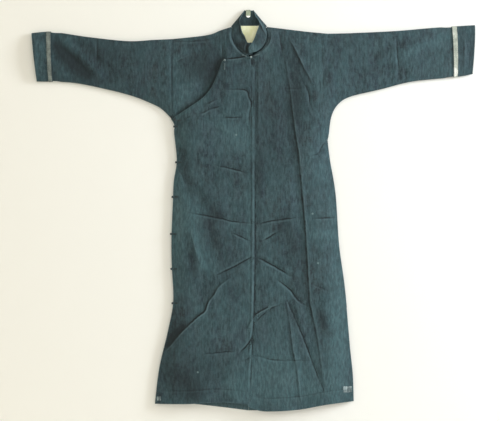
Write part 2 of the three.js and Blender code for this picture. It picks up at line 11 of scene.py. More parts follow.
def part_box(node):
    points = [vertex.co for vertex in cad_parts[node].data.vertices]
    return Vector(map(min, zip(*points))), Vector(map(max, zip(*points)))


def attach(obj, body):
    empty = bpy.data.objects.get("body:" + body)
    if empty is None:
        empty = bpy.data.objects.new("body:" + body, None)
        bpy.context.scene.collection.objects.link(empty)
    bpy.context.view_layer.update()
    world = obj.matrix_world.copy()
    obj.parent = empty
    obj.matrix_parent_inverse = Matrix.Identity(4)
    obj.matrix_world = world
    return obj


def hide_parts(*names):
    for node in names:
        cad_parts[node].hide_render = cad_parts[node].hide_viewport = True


bl_info = {
    "name": "Changshan on a wall hook",
    "version": (1, 0, 0),
    "blender": (4, 5, 0),
    "location": "View3D > Sidebar > Changshan",
    "description": "Builds the robe's cloth, trims, hook and stage round the packed model",
    "category": "Object",
}

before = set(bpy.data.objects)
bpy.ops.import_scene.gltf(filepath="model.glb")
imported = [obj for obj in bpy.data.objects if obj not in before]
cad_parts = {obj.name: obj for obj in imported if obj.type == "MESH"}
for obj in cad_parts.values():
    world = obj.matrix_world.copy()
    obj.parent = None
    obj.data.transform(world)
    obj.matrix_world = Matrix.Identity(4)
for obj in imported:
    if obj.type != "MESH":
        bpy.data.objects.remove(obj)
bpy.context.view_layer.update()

# Lengths below are in millimetres, as on the pattern; every mesh is scaled to metres at the end.
TO_METRES = 0.001

# Depths: the folded edges lie at FOLD_DEPTH, the front swells forward and the back towards the wall
FOLD_DEPTH = -8.0
FOLD_RADIUS = 3.2
SWELL_REACH = 75.0
BACK_SWELL = 1.6
LEFT_SWELL = 19.0
FLAP_SWELL = 16.0
OUTER_STEP = 2.6
OUTER_SWELL = 16.4
SLEEVE_SWELL_SHARE = 0.6
SLEEVE_THINNING = (190.0, 430.0)
CREASE_FADE = 30
BACK_LIMIT = -0.8
BAND_BACK_LIMIT = -0.5

# Edges and openings
SEAM_GAP = 0.3
SIDE_INSET = 2.5
VENT_TOP = -990.0
FLAP_END = -1215.0
FLAP_INNER = 4 / 12
FLAP_FULL = 0.1
BACK_NECK_EDGE = -34.0
BACK_NECK_SHARE = 4 / 6
TAPE_START = 0.003
TAPE_SHARE = 0.034

# Layers over the sleeves' ends, walls of all cloths but the robe's own, and how near points are welded
CUFF_LAYER = 2.3
TAPE_LAYER = 3.2
CUFF_WALL = 1.3
COLLAR_WALL = 2.0
TRIM_WALL = 0.7
PANEL_WELD = 0.12
TUBE_WELD = 0.08
PATCH_WELD = 0.05
CORD_WELD = 0.01

# How finely the cloth is laid out
PANEL_COLUMNS = 50
YOKE_ROWS = 36
SKIRT_ROWS = 190
FOLD_STEPS = 8
SLEEVE_ROWS = 84
SLEEVE_ROUND = 100
OUTER_ROWS = 200

# The way towards the light in the garment's plane, as x and z
LIGHT_WAY = (0.9, 0.42)

# How far a crease line is marked, and how strongly tones and depths of the tables show
MARK_REACH = 20.0
MARK_ENDS = (0.02, 0.98)
STROKE_STEPS = 12
CREASE_ENDS = (0.06, 0.94)
TONE_GAIN = 1.3
CREASE_GAIN = 1.35
BACK_TONE_SHARE = 0.4

# Outlines of the garment seen from the front, as x and z
CENTRE_FRONT = [(8, -143), (19, -219), (20, -420), (20, -624), (18, -942), (10, -1131), (0, -1322)]
CENTRE_BACK = [(0, -150), (0, -700), (0, -1337)]
LEFT = {
    "sign": 1,
    "shoulder": [(62, -38), (128, -46), (203, -55), (269, -61)],
    "neckline": [(8, -143), (33, -125), (48, -113), (56, -98), (65, -72), (62, -41.2)],
    "yoke": [(8, -143), (100, -215), (190, -320), (264.8, -422)],
    "back_yoke": [(0, -150), (100, -215), (190, -320), (264.8, -422)],
    "side": [(268, -422), (276, -489), (295, -604), (307, -776), (327, -925), (344, -1117), (354, -1215),
             (357, -1305)],
    "front_hem": [(0, -1322), (40, -1335), (89, -1336), (177, -1330), (262, -1314), (353.8, -1305)],
    "back_hem": [(0, -1337), (89, -1336), (177, -1330), (262, -1314), (353.8, -1305)],
    "sleeve_top": [(269, -61), (351, -59), (497, -52), (629, -41), (766, -32)],
    "sleeve_bottom": [(268, -422), (272, -402), (280, -344), (301, -303), (343, -275), (446, -250),
                      (556, -223), (702, -208), (759, -198)],
    "cuff_start": 0.841,
    "cuff_lag": 0.315,
}
RIGHT = {
    "sign": -1,
    "shoulder": [(-58, -38), (-95, -50), (-140, -66), (-255, -79)],
    "neckline": [(8, -143), (-19, -129), (-38, -111), (-47, -96), (-55, -72), (-58, -41.2)],
    "yoke": [(8, -143), (-73, -152), (-88, -157), (-100, -189), (-122, -241), (-152, -279), (-199, -313),
             (-256.8, -350)],
    "back_yoke": [(0, -150), (-100, -190), (-190, -270), (-256.8, -350)],
    "side": [(-260, -350), (-247.5, -374), (-249.5, -398), (-240.5, -489), (-250.5, -560), (-253.5, -628),
             (-258.5, -753), (-257.5, -844), (-252.5, -965), (-269.5, -1063), (-299.5, -1191),
             (-314.5, -1313)],
    "front_hem": [(0, -1322), (-14, -1311), (-96, -1306), (-203, -1311), (-311.3, -1313)],
    "back_hem": [(0, -1337), (-96, -1325), (-203, -1314), (-311.3, -1313)],
    "sleeve_top": [(-255, -79), (-321, -82), (-410, -86), (-545, -72), (-665, -55), (-734, -59)],
    "sleeve_bottom": [(-260, -350), (-293, -317), (-325, -299), (-394, -272), (-487, -248), (-597, -227),
                      (-717, -223)],
    "cuff_start": 0.862,
    "cuff_lag": 0.2,
}
HALVES = {"left": LEFT, "right": RIGHT}

# The front's creases: name, line, half width, depth (a ridge is negative), and tone of the painted shade and
# painted highlight drawn along the line (dark is negative)
FRONT_CREASES = [
    ("broad press hollow", [(104, -159), (128, -312), (150, -481), (170, -702), (183, -925), (205, -1056),
                            (232, -1261)], 30, 3.0, 0),
    ("long press valley", [(122, -159), (133, -209), (138, -256), (144, -312), (150, -358), (156, -402),
                           (168, -481), (179, -604), (188, -702), (196, -832), (201, -925), (206, -979),
                           (223, -1056), (238, -1151), (250, -1261)], 5, 0.6, 0),
    ("long press ridge", [(127, -159), (143, -256), (149, -312), (161, -402), (173, -481), (184, -604),
                          (193, -702), (201, -832), (206, -925), (211, -979), (228, -1056), (243, -1151),
                          (255, -1261)], 8, -1.6, 0.7),
    ("skirt ray inner", [(129, -958), (141, -1043), (151, -1122), (164, -1191), (179, -1320)], 12, -2.2,
     0.5),
    ("skirt ray outer", [(129, -958), (179, -1073), (208, -1151), (235, -1222), (253, -1261)], 12, 2.2,
     -0.75),
    ("chevron right", [(-104, -876), (-49, -849), (10, -817)], 11, 2.4, -0.9),
    ("chevron left", [(30, -817), (86, -847), (143, -881)], 11, 2.4, -0.9),
    ("sweep right", [(-69, -894), (-99, -918), (-114, -945), (-133, -969), (-143, -999), (-168, -1019),
                     (-218, -1066), (-262, -1117), (-285, -1139)], 12, -3.0, 1.0),
    ("sweep left", [(99, -894), (139, -925), (164, -958), (193, -979)], 11, 2.4, -0.9),
    ("hip line right", [(-193, -668), (-99, -685), (-59, -695), (10, -703)], 8, 1.8, -0.7),
    ("hip line left", [(35, -705), (79, -695), (159, -684)], 8, 1.8, -0.7),
    ("hip line side", [(223, -686), (287, -684)], 8, 1.8, -0.6),
    ("waist line right", [(-99, -510), (-49, -520), (-10, -532)], 8, 1.6, -0.85),
    ("belly tick right", [(-45, -738), (0, -760)], 8, 1.6, -0.95),
    ("belly tick left", [(55, -758), (94, -735)], 8, 1.6, -0.85),
    ("lower line right", [(-143, -1142), (-96, -1137), (-49, -1134)], 8, 1.8, -0.7),
    ("lower curl", [(-28, -1137), (-8, -1117), (7, -1097), (18, -1063)], 8, 2.4, -0.9),
    ("knee fold upper", [(0, -1058), (10, -1033), (25, -1013), (56, -994), (99, -974)], 10, -2.4, 0.9),
    ("knee fold lower", [(25, -1033), (60, -1001)], 8, 2.0, -0.8),
    ("lower chevron", [(-28, -1167), (-11, -1163), (10, -1151), (30, -1149), (79, -1162), (140, -1164),
                       (193, -1164)], 10, 1.6, -0.4),
    ("chest curl", [(-63, -252), (-10, -254), (2, -277), (10, -300), (4, -341), (2, -371)], 8, 1.8, -0.7),
    ("chest line", [(-84, -346), (-23, -346)], 8, 1.4, -0.55),
    ("shoulder ridge", [(139, -78), (152, -105), (170, -140), (188, -177), (203, -204), (215, -228)], 10,
     -2.4, 0.55),
    ("armhole valley", [(185, -231), (200, -255), (206, -282), (207, -306)], 8, 1.8, -0.7),
    ("neck drop", [(103, -50), (109, -94), (112, -116), (109, -137)], 8, 1.6, -0.4),
    ("breast line", [(122, -249), (179, -249)], 8, 1.4, -0.2),
    ("right shoulder hollow", [(-253, -88), (-197, -88), (-140, -84), (-123, -80)], 9, 1.8, -0.4),
    ("right neck drop", [(-87, -91), (-88, -145)], 8, 1.6, -0.4),
    ("right shoulder lift", [(-245, -157), (-204, -138)], 9, -1.6, 0.3),
    ("underarm pull", [(262, -428), (254, -436), (244, -451), (239, -465), (216, -475)], 11, 3.2, -0.6),
    ("right sleeve valley", [(-662, -77), (-602, -132), (-519, -222)], 30, 3.4, 0),
    ("right sleeve drop", [(-510, -80), (-510, -164)], 8, 1.4, -0.4),
    ("left sleeve drop", [(501, -68), (503, -140), (512, -217)], 9, 2, -0.5),
    ("left sleeve rise", [(432, -133), (505, -104)], 9, -1.6, 0),
    ("left sleeve rise outer", [(505, -140), (592, -93)], 10, -1.8, 0),
    ("left sleeve tick", [(523, -166), (534, -217)], 8, 1.4, -0.4),
    ("centre ridge", [(34, -162), (35, -287), (35, -456)], 8, -1.2, 0.3),
    ("centre valley", [(23, -162), (24, -287), (24, -456)], 6, 0.8, -0.3),
    ("right chest hollow", [(-195, -490), (-194, -604), (-104, -678)], 45, 2.6, 0),
    ("hip shade", [(-212, -753), (-199, -810), (-184, -872)], 22, 2.6, 0),
    ("hip shade ridge", [(-190, -738), (-176, -800), (-160, -845)], 14, -2.4, 0.25),
    ("side pull", [(-236, -515), (-215, -560), (-204, -590)], 16, 2.2, -0.3),
    ("chest fan", [(-60, -380), (-95, -330), (-160, -300)], 12, 1.2, 0),
    ("chest fan low", [(-70, -420), (-130, -360), (-190, -340)], 12, 1.2, 0.1),
    ("left yoke fold", [(300, -110), (262, -180), (235, -250)], 14, 1.8, 0),
    ("left belly tick", [(60, -480), (110, -505)], 8, 1.4, 0),
    ("left thigh line", [(214, -905), (268, -930)], 8, 1.4, -0.3),
    ("seam lip", [(14, -190), (14, -400), (14, -624), (12, -942), (5, -1131), (-4, -1290)], 6, -1.0, 0.4),
    ("seam shade", [(23, -470), (23, -624), (21, -942), (13, -1131), (3, -1310)], 5, 0.8, -0.7),
    ("placket top", [(-76, -149), (-40, -146), (-8, -140)], 6, 1.0, -1.0),
    ("collar right lip", [(18, 11), (24, -5), (29, -15), (38, -23), (47, -40), (56, -56), (63, -70)], 4,
     0, 0.9),
    ("collar left lip", [(-15, 17), (-25, -5), (-29, -17), (-26, -36), (-23, -57), (-14, -72), (-1, -93)],
     4, 0, 0.85),
    ("neck slit", [(12, -149), (12, -170)], 4, 0, -1.0),
    ("placket fan upper", [(-137, -304), (-108, -290)], 5, -0.7, 0.55),
    ("placket fan middle", [(-130, -318), (-98, -310)], 5, 0.6, -0.5),
    ("placket fan lower", [(-160, -338), (-128, -322)], 5, -0.7, 0.5),
    ("placket fan far", [(-205, -352), (-178, -338)], 5, -0.6, 0.4),
    ("collar end gap", [(-1, -99), (-6, -110), (-6, -130)], 4, 0, -0.9),
    ("collar base right", [(64, -42), (66, -64), (64, -84), (54, -105), (35, -123), (12, -138)], 6, 0.8,
     -0.55),
    ("collar base left", [(-53, -44), (-56, -67), (-51, -88), (-39, -108), (-24, -125), (-9, -135)], 6, 0.8,
     -1.0),
    ("neck fold right", [(77, -50), (76, -85), (64, -109), (42, -129)], 8, -1.8, 0.4),
    ("neck fold left", [(-64, -50), (-65, -75), (-58, -97), (-45, -116)], 8, -1.6, 0.25),
    ("right sleeve glow", [(-636, -78), (-596, -118), (-535, -172), (-501, -206)], 24, -2.4, 0),
    ("right sleeve second shade", [(-590, -78), (-530, -130), (-470, -190)], 20, 2.2, 0),
    ("right armhole seam", [(-258, -84), (-259, -200), (-258, -338)], 5, 0.4, -0.4),
    ("left armhole seam", [(247, -74), (252, -190), (250, -300)], 5, 0.4, -0.2),
    ("left cuff crease", [(731, -56), (729, -185)], 6, -0.8, 0.35),
    ("right cuff crease", [(-722, -66), (-716, -200)], 6, -0.8, 0.25),
    ("hem turn-up left", [(6, -1278), (40, -1290), (89, -1291), (177, -1285), (262, -1269), (347, -1260)], 6,
     0.7, -0.22),
    ("hem turn-up right", [(-10, -1268), (-96, -1261), (-203, -1266), (-300, -1268)], 6, 0.7, -0.22),
]

# Lighter and darker areas of the front: name, middle, reach across and down, and tone (dark is negative); the
# darker ones are painted shade, the lighter ones partly faded cloth, marks and a label, and partly painted
# light
FRONT_AREAS = [
    # Painted light on the lit lower part of the yoke
    ("right yoke painted light", (-200, -285), (50, 40), 0.35),
    ("neck right worn", (62, -122), (18, 16), 0.7),
    ("underarm dark", (-259, -348), (12, 10), -1.2),
    ("right yoke crown", (-150, -120), (60, 40), -0.1),
    ("right chest worn", (-50, -410), (60, 60), 0.4),
    # Painted light on the side edge that turns away from the light
    ("right side painted light", (-246, -640), (24, 330), 0.55),
    # Painted highlight on the lit side of the centre seam
    ("seam painted highlight", (6, -860), (10, 360), 0.85),
    ("seam shade", (36, -570), (15, 210), -0.4),
    ("yoke shade", (-150, -190), (80, 90), -0.58),
    ("left flank flecks", (256, -742), (44, 12), 1.0),
    ("left chest middle", (70, -620), (60, 60), 0.3),
    ("skirt end shade", (-255, -1085), (30, 50), -0.4),
    ("right waist shade", (-70, -560), (90, 90), -0.25),
    # Painted light on the hip beside the side edge that turns away from the light
    ("right hip painted light", (-200, -720), (48, 190), 0.75),
    ("right hip streak", (-140, -800), (30, 90), 0.35),
    ("right belly worn", (-60, -610), (50, 60), 0.3),
    ("right thigh worn", (-90, -1010), (60, 70), 0.25),
    ("right hem worn", (-60, -1260), (60, 40), 0.4),
    ("right hip shade", (-192, -815), (22, 85), -0.5),
    ("right thigh shade", (-60, -930), (120, 90), -0.15),
    ("right skirt shade", (-170, -1210), (120, 90), -0.35),
    ("left chest shade", (95, -360), (80, 220), -0.3),
    ("left armhole shade", (165, -330), (25, 130), -0.2),
    ("left flank worn", (245, -640), (50, 200), 0.3),
    ("left thigh shade", (172, -900), (26, 60), -0.35),
    ("sweep shade", (-150, -930), (30, 60), -0.3),
    ("sweep shade low", (-235, -1030), (30, 60), -0.35),
    ("collar left shade", (-28, -112), (22, 24), -0.3),
    ("left skirt worn", (300, -1080), (40, 260), 1.0),
    ("left skirt fold shade", (255, -1030), (26, 110), -0.45),
    ("left skirt middle worn", (90, -1210), (110, 110), 1.0),
    ("left hem worn", (200, -1250), (110, 60), 0.5),
    ("left thigh worn", (60, -950), (60, 110), 0.2),
    ("right sleeve shade", (-560, -150), (190, 90), -0.55),
    ("right cuff worn", (-708, -140), (30, 90), 0.6),
    ("left sleeve shade", (330, -110), (70, 60), -0.2),
    ("left sleeve worn", (600, -130), (150, 80), 0.2),
    ("left cuff end shade", (756, -120), (10, 90), -0.4),
    ("left cuff shade", (720, -120), (24, 90), -0.3),
    ("left tape label", (694, -193), (16, 15), 1.0),
]

# Soft strokes of painted shade and painted highlight along folds: name, line, reach, tone
FRONT_STROKES = [
    ("placket edge lit", [(-112, -196), (-133, -246), (-162, -288), (-208, -322), (-244, -344)], 9, 0.55),
    ("chest diagonal", [(-226, -460), (-205, -545), (-155, -620), (-104, -680)], 24, -0.5),
    ("sleeve diagonal", [(-653, -100), (-600, -150), (-545, -205)], 20, -0.45),
    ("sleeve diagonal lit", [(-612, -90), (-555, -145), (-500, -200)], 15, 0.35),
    ("sleeve second lit", [(-690, -110), (-650, -160), (-610, -215)], 15, 0.3),
    ("left sleeve rise lit", [(505, -150), (600, -95), (690, -62)], 14, 0.45),
    ("left sleeve rise dark", [(430, -142), (510, -104), (620, -72)], 14, -0.4),
    ("left sleeve low shade", [(590, -138), (690, -118)], 14, -0.35),
    ("left sleeve under shade", [(380, -205), (470, -170), (540, -190)], 20, -0.25),
    ("yoke lit", [(-250, -150), (-215, -130), (-170, -118)], 10, 0.45),
    ("yoke low lit", [(-240, -300), (-215, -270), (-180, -235)], 24, 0.45),
    ("armhole lit", [(-266, -90), (-267, -200)], 8, 0.35),
    ("hip streak", [(-213, -742), (-200, -810), (-180, -872)], 13, -0.5),
    ("hip streak lit", [(-190, -725), (-165, -790), (-150, -850)], 13, 0.5),
    ("hip edge lit", [(-250, -610), (-232, -700), (-228, -760)], 16, 0.55),
    ("hip blob", [(-140, -700), (-105, -770)], 24, -0.45),
    ("belly lit", [(-52, -706), (-4, -722)], 14, 0.5),
    ("left hip shade", [(120, -700), (165, -800)], 30, -0.45),
    ("left belly lit", [(45, -740), (110, -790)], 18, 0.3),
    ("chest lit", [(-105, -370), (-60, -400), (-20, -440)], 30, 0.4),
    ("chest edge lit", [(-232, -560), (-215, -640), (-190, -690)], 16, 0.4),
    ("skirt lit", [(-200, -930), (-150, -1010)], 24, 0.3),
    ("skirt shade low", [(-260, -1200), (-190, -1270)], 40, -0.35),
    ("hem lit", [(-60, -1225), (-30, -1290)], 22, 0.4),
    ("left flank dark", [(240, -1010), (275, -1080)], 16, -0.45),
    ("left shoulder shade", [(130, -110), (170, -230), (150, -330)], 36, -0.3),
    ("left arm lit", [(238, -110), (240, -260)], 14, 0.3),
    ("belly shade", [(-140, -700), (-110, -790), (-70, -830)], 30, -0.25),
    ("ray shade", [(140, -985), (190, -1130), (225, -1230)], 16, -0.35),
    ("hook shade", [(-218, -1050), (-262, -1095), (-292, -1130)], 12, -0.6),
]

# Pale specks on the front, as x and z, with their radius where full and where gone, and their share
SPECKS = [(-170.8, -1203.9), (215.7, -670.6), (233.9, -837.0), (-41.2, -405.0)]
SPECK_REACH = (1.8, 4.4)
SPECK_SHARE = 0.42

# Like creases on the hidden back; depth moves the cloth towards the front
BACK_CREASES = [
    ("back press line", [(-150, -180), (-164, -420), (-178, -640), (-196, -900), (-215, -1240)], 12, 3.0,
     0.5),
    ("back chevron", [(-110, -900), (0, -840), (110, -890)], 12, 2.6, 0.4),
    ("back sweep", [(60, -930), (150, -1040), (240, -1150)], 14, 2.8, 0.5),
    ("back hip line", [(-150, -690), (-40, -705), (90, -688)], 9, 1.6, -0.4),
    ("back yoke fold", [(60, -60), (130, -190), (150, -330)], 14, 2.2, -0.4),
    ("back sleeve valley", [(640, -80), (530, -215)], 26, 2.0, -0.3),
    ("back sleeve fold", [(-480, -85), (-500, -235)], 12, 1.8, -0.4),
    ("back hem ray", [(-40, -1010), (-90, -1300)], 14, 2.4, -0.4),
    ("back hem ray left", [(120, -1060), (170, -1310)], 14, 2.4, -0.4),
]

# The uneven hand of the cloth: long waves that never quite repeat, as turns across and up, and size
RIPPLES = [(0.021, 0.006, 0.35), (0.047, -0.013, 0.22), (-0.012, 0.034, 0.28), (0.081, 0.021, 0.12),
           (0.006, -0.061, 0.14), (0.113, -0.007, 0.08)]
RIPPLE_SHIFT = 2.1

# The hem's waves, and the hollow beside the outer front's curved edge
HEM_WAVES = {"level": 1330.0, "height": 260.0, "length": 150.0, "depth": 2.2}
SINK = {"depth": 6.5, "middle": 14.0, "reach": 24.0, "fade": 45, "neck side": 62, "full": 105}


def spline(points, samples=240):
    """Evenly spaced places on a smooth line through the points."""
    knots = np.array(points, float)
    last = len(knots) - 1
    places = []
    for share in np.linspace(0, last, samples * 4 + 1):
        first = min(int(share), last - 1)
        weight = share - first
        p0 = knots[max(first - 1, 0)]
        p1, p2 = knots[first], knots[first + 1]
        p3 = knots[min(first + 2, last)]
        v0, v1 = (p2 - p0) / 2, (p3 - p1) / 2
        places.append((2 * p1 - 2 * p2 + v0 + v1) * weight ** 3
                      + (-3 * p1 + 3 * p2 - 2 * v0 - v1) * weight ** 2 + v0 * weight + p1)
    places = np.array(places)
    walked = np.concatenate([[0], np.cumsum(np.linalg.norm(np.diff(places, axis=0), axis=1))])
    even = np.linspace(0, walked[-1], samples + 1)
    return np.stack([np.interp(even, walked, places[:, k]) for k in range(places.shape[1])], axis=1)


def along(line, share):
    """Places on an evenly sampled line at shares of its length."""
    share = np.atleast_1d(np.asarray(share, float))
    steps = np.linspace(0, 1, len(line))
    return np.stack([np.interp(share, steps, line[:, k]) for k in range(line.shape[1])], axis=1)


def inside_of(line, share, turn, distance):
    """Places inside an outline: turn is 1 where the cloth lies clockwise of the way along it, or -1."""
    share = np.atleast_1d(np.asarray(share, float))
    step = 0.004
    ahead, behind = along(line, np.clip(share + step, 0, 1)), along(line, np.clip(share - step, 0, 1))
    way = (ahead - behind) / np.linalg.norm(ahead - behind, axis=1)[:, None]
    moved = turn * np.reshape(distance, (-1, 1))
    return along(line, share) + moved * np.stack([way[:, 1], -way[:, 0]], axis=1)


def line_distance(line, x, z):
    """Distance to a line, the share of it walked at the nearest place, and its side: 1 away from light."""
    nearest = np.full(x.shape, np.inf)
    share = np.zeros(x.shape)
    side = np.ones(x.shape)
    for index in range(len(line) - 1):
        start, run = line[index], line[index + 1] - line[index]
        held = np.clip(((x - start[0]) * run[0] + (z - start[1]) * run[1]) / (run @ run), 0, 1)
        gap = np.hypot(x - start[0] - held * run[0], z - start[1] - held * run[1])
        closer = gap < nearest
        nearest = np.where(closer, gap, nearest)
        share = np.where(closer, (index + held) / (len(line) - 1), share)
        away = np.sign(run[1] * LIGHT_WAY[0] - run[0] * LIGHT_WAY[1]) or 1
        turned = np.sign(run[0] * (z - start[1]) - run[1] * (x - start[0])) * away
        side = np.where(closer, turned, side)
    return nearest, share, side


def smooth(value, low, high):
    """0 below low, 1 above high, and an even slope between them."""
    share = np.clip((value - low) / (high - low), 0, 1)
    return share * share * (3 - 2 * share)


def softened(table):
    """The table with each crease's corners drawn as one soft line."""
    return [(name, spline(line, 6 * len(line)), *rest) for name, line, *rest in table]


FRONT_CREASES = softened(FRONT_CREASES)
BACK_CREASES = softened(BACK_CREASES)
LINES = {side: {key: spline(value) for key, value in half.items() if isinstance(value, list)}
         for side, half in HALVES.items()}
CENTRE_FRONT_LINE = spline(CENTRE_FRONT)
CENTRE_BACK_LINE = spline(CENTRE_BACK)
EDGE_LINES = [LINES[side][key][::4] for side in LINES
              for key in ("shoulder", "sleeve_top", "sleeve_bottom", "side")]


def crease_marks(table, x, z, sign):
    """Signed distance in metres to the nearest crease line of painted shade (sign -1) or painted highlight
    (sign 1), and the line's strength there.
    """
    nearest = np.full(x.shape, MARK_REACH)
    strength = np.zeros(x.shape)
    for _, line, _, _, tone in table:
        if tone * sign <= 0:
            continue
        distance, share, side = line_distance(line, x, z)
        held = abs(tone) * np.sqrt(np.sin(np.pi * np.clip(share, *MARK_ENDS)))
        closer = distance < np.abs(nearest)
        nearest = np.where(closer, side * distance, nearest)
        strength = np.where(closer, held, strength)
    return nearest * TO_METRES, strength


def soft_spot(x, z, middle, reach):
    """1 at the middle, fading to 0 over the reach across and down."""
    return np.exp(-((x - middle[0]) / reach[0]) ** 2 - ((z - middle[1]) / reach[1]) ** 2)


def area_tone(table, x, z):
    """Adds up the soft patches of wear, painted light and painted shade at each place."""
    total = np.zeros(x.shape)
    for _, middle, reach, tone in table:
        total += tone * soft_spot(x, z, middle, reach)
    return TONE_GAIN * total


def stroke_tone(table, x, z):
    """Adds up the soft strokes of painted shade and painted highlight at each place."""
    total = np.zeros(x.shape)
    for _, line, reach, tone in table:
        total += tone * np.exp(-(line_distance(spline(line, STROKE_STEPS), x, z)[0] / reach) ** 2)
    return TONE_GAIN * total


def edge_distance(x, z):
    """Distance to the nearest folded edge."""
    return np.min([line_distance(line, x, z)[0] for line in EDGE_LINES], axis=0)


def crease_depth(table, x, z):
    """Adds up how deep the table's creases are at each place."""
    total = np.zeros(x.shape)
    for _, line, width, depth, _ in table:
        distance, share, _ = line_distance(line, x, z)
        across = np.where(distance < width, 0.5 + 0.5 * np.cos(np.pi * distance / width), 0)
        total += CREASE_GAIN * depth * across * np.sqrt(np.sin(np.pi * np.clip(share, *CREASE_ENDS)))
    return total


def ripple(x, z):
    """The uneven hand of the cloth at each place."""
    return sum(size * np.sin(across * x + up * z + RIPPLE_SHIFT * order)
               for order, (across, up, size) in enumerate(RIPPLES))


def hem_wave(x, z):
    """The front's waves, which grow towards the hem."""
    hem = smooth(-z, HEM_WAVES["level"] - HEM_WAVES["height"], HEM_WAVES["level"])
    return HEM_WAVES["depth"] * hem * np.sin(2 * np.pi * x / HEM_WAVES["length"])


def swell(distance):
    """How much of its full swell the cloth has at a distance from the folded edges."""
    share = np.minimum(np.maximum(distance, 0) / SWELL_REACH, 1)
    return 1 - (1 - share) ** 2


def swell_share(x):
    """The sleeves swell less than the body."""
    return 1 - (1 - SLEEVE_SWELL_SHARE) * smooth(np.abs(x), *SLEEVE_THINNING)


def front_depth(x, z, step, rise, distance=None):
    """Depth of a front wall: step moves it out from the fold, rise is its full swell."""
    distance = edge_distance(x, z) if distance is None else distance
    rest = FOLD_DEPTH - step - FOLD_RADIUS - rise * swell_share(x) * swell(distance - FOLD_RADIUS)
    push = crease_depth(FRONT_CREASES, x, z) + hem_wave(x, z) + ripple(x, z)
    return rest + push * smooth(distance, FOLD_RADIUS, CREASE_FADE)


def placket_sink(x, z, distance):
    """How far the yoke and under-flap sink beside the outer front's curved edge."""
    gap = line_distance(LINES["right"]["yoke"][::4], x, z)[0]
    outward = gap * np.where(z > placket_height(x), 1, -1)
    fade = smooth(distance, FOLD_RADIUS, SINK["fade"]) * smooth(-x, SINK["neck side"], SINK["full"])
    sunk = SINK["depth"] * np.exp(-((outward - SINK["middle"]) / SINK["reach"]) ** 2) * fade
    return sunk, outward, fade


def placket_height(x):
    """Height of the outer front's curved edge."""
    line = LINES["right"]["yoke"]
    order = np.argsort(line[:, 0])
    return np.interp(x, line[order, 0], line[order, 1])


def back_depth(x, z, distance=None):
    """Depth of the back wall, which swells towards the wall behind it."""
    distance = edge_distance(x, z) if distance is None else distance
    rest = FOLD_DEPTH + FOLD_RADIUS + BACK_SWELL * swell_share(x) * swell(distance - FOLD_RADIUS)
    push = crease_depth(BACK_CREASES, x, z) - ripple(x, z)
    return np.minimum(rest - push * smooth(distance, FOLD_RADIUS, CREASE_FADE), BACK_LIMIT)


def blend(first, second, inner, outer, u, v):
    """Places in a patch between four boundary curves, each a function of a share."""
    across, up = u[:, None], v[:, None]
    place = (1 - up) * first(u) + up * second(u) + (1 - across) * inner(v) + across * outer(v)
    place -= (1 - across) * (1 - up) * inner(0) + across * (1 - up) * outer(0)
    return place - (1 - across) * up * inner(1) - across * up * outer(1)


def ends_at(curve, start, end):
    """The same curve, drawn over so that it meets both end places."""
    start_move, end_move = start - curve(0), end - curve(1)

    def moved(share):
        share = np.atleast_1d(np.asarray(share, float))[:, None]
        return curve(share[:, 0]) + (1 - share) * start_move + share * end_move

    return moved


def half_patches(side, face):
    """The yoke's and the skirt's plane patches of one half's front or back."""
    lines, turn, is_front = LINES[side], HALVES[side]["sign"], face == "front"
    gap = np.array([[turn * SEAM_GAP / 2, 0.0]])
    centre_line = CENTRE_FRONT_LINE if is_front else CENTRE_BACK_LINE
    yoke_line = lines["yoke" if is_front else "back_yoke"]
    hem = lines["front_hem" if is_front else "back_hem"]
    neck_point = inside_of(lines["shoulder"], 0, turn, FOLD_RADIUS)
    arm_point = inside_of(lines["shoulder"], 1, turn, FOLD_RADIUS)
    underarm = inside_of(lines["side"], 0, turn, FOLD_RADIUS)
    hem_corner = inside_of(lines["side"], 1, turn, FOLD_RADIUS)
    corner = np.array([[0.0, BACK_NECK_EDGE]])

    def centre(v):
        return along(centre_line, v) + gap

    def back_neck(v):
        v = np.atleast_1d(np.asarray(v, float))[:, None]
        down = along(CENTRE_BACK_LINE, 0) * (1 - v / BACK_NECK_SHARE) + corner * v / BACK_NECK_SHARE
        rest = (v - BACK_NECK_SHARE) / (1 - BACK_NECK_SHARE)
        return np.where(v < BACK_NECK_SHARE, down, corner * (1 - rest) + neck_point * rest)

    start = centre(0)
    neckline = (lambda v: along(lines["neckline"], v)) if is_front else back_neck
    inner = ends_at(neckline, start, neck_point)
    yoke_edge = ends_at(lambda u: along(yoke_line, u), start, underarm)
    shoulder = ends_at(lambda u: inside_of(lines["shoulder"], u, turn, FOLD_RADIUS), neck_point, arm_point)
    hem_edge = ends_at(lambda u: along(hem, u), centre(1), hem_corner)

    def armhole(v):
        v = np.atleast_1d(np.asarray(v, float))[:, None]
        return underarm * (1 - v) + arm_point * v

    def side_edge(v):
        return inside_of(lines["side"], v, turn, FOLD_RADIUS)

    def yoke(u, v):
        return blend(yoke_edge, shoulder, inner, armhole, u, v)

    def skirt(u, v):
        return blend(yoke_edge, hem_edge, centre, side_edge, u, v)

    return yoke, skirt


def fold_places(line, share, turn, angle, radius=FOLD_RADIUS, base=0.0):
    """Places round a fold, base inside its outline: 90 is the front face's angle and -90 the back's."""
    centre = inside_of(line, share, turn, FOLD_RADIUS + base)
    out = inside_of(line, share, turn, base) - centre
    out /= np.linalg.norm(out, axis=1)[:, None]
    turned = np.radians(angle)
    plane = centre + out * (radius * np.cos(turned))[:, None]
    return np.stack([plane[:, 0], FOLD_DEPTH - radius * np.sin(turned), plane[:, 1]], axis=1)


def with_depth(plane, depth):
    """Plane places as x, depth and z."""
    return np.stack([plane[:, 0], depth, plane[:, 1]], axis=1)


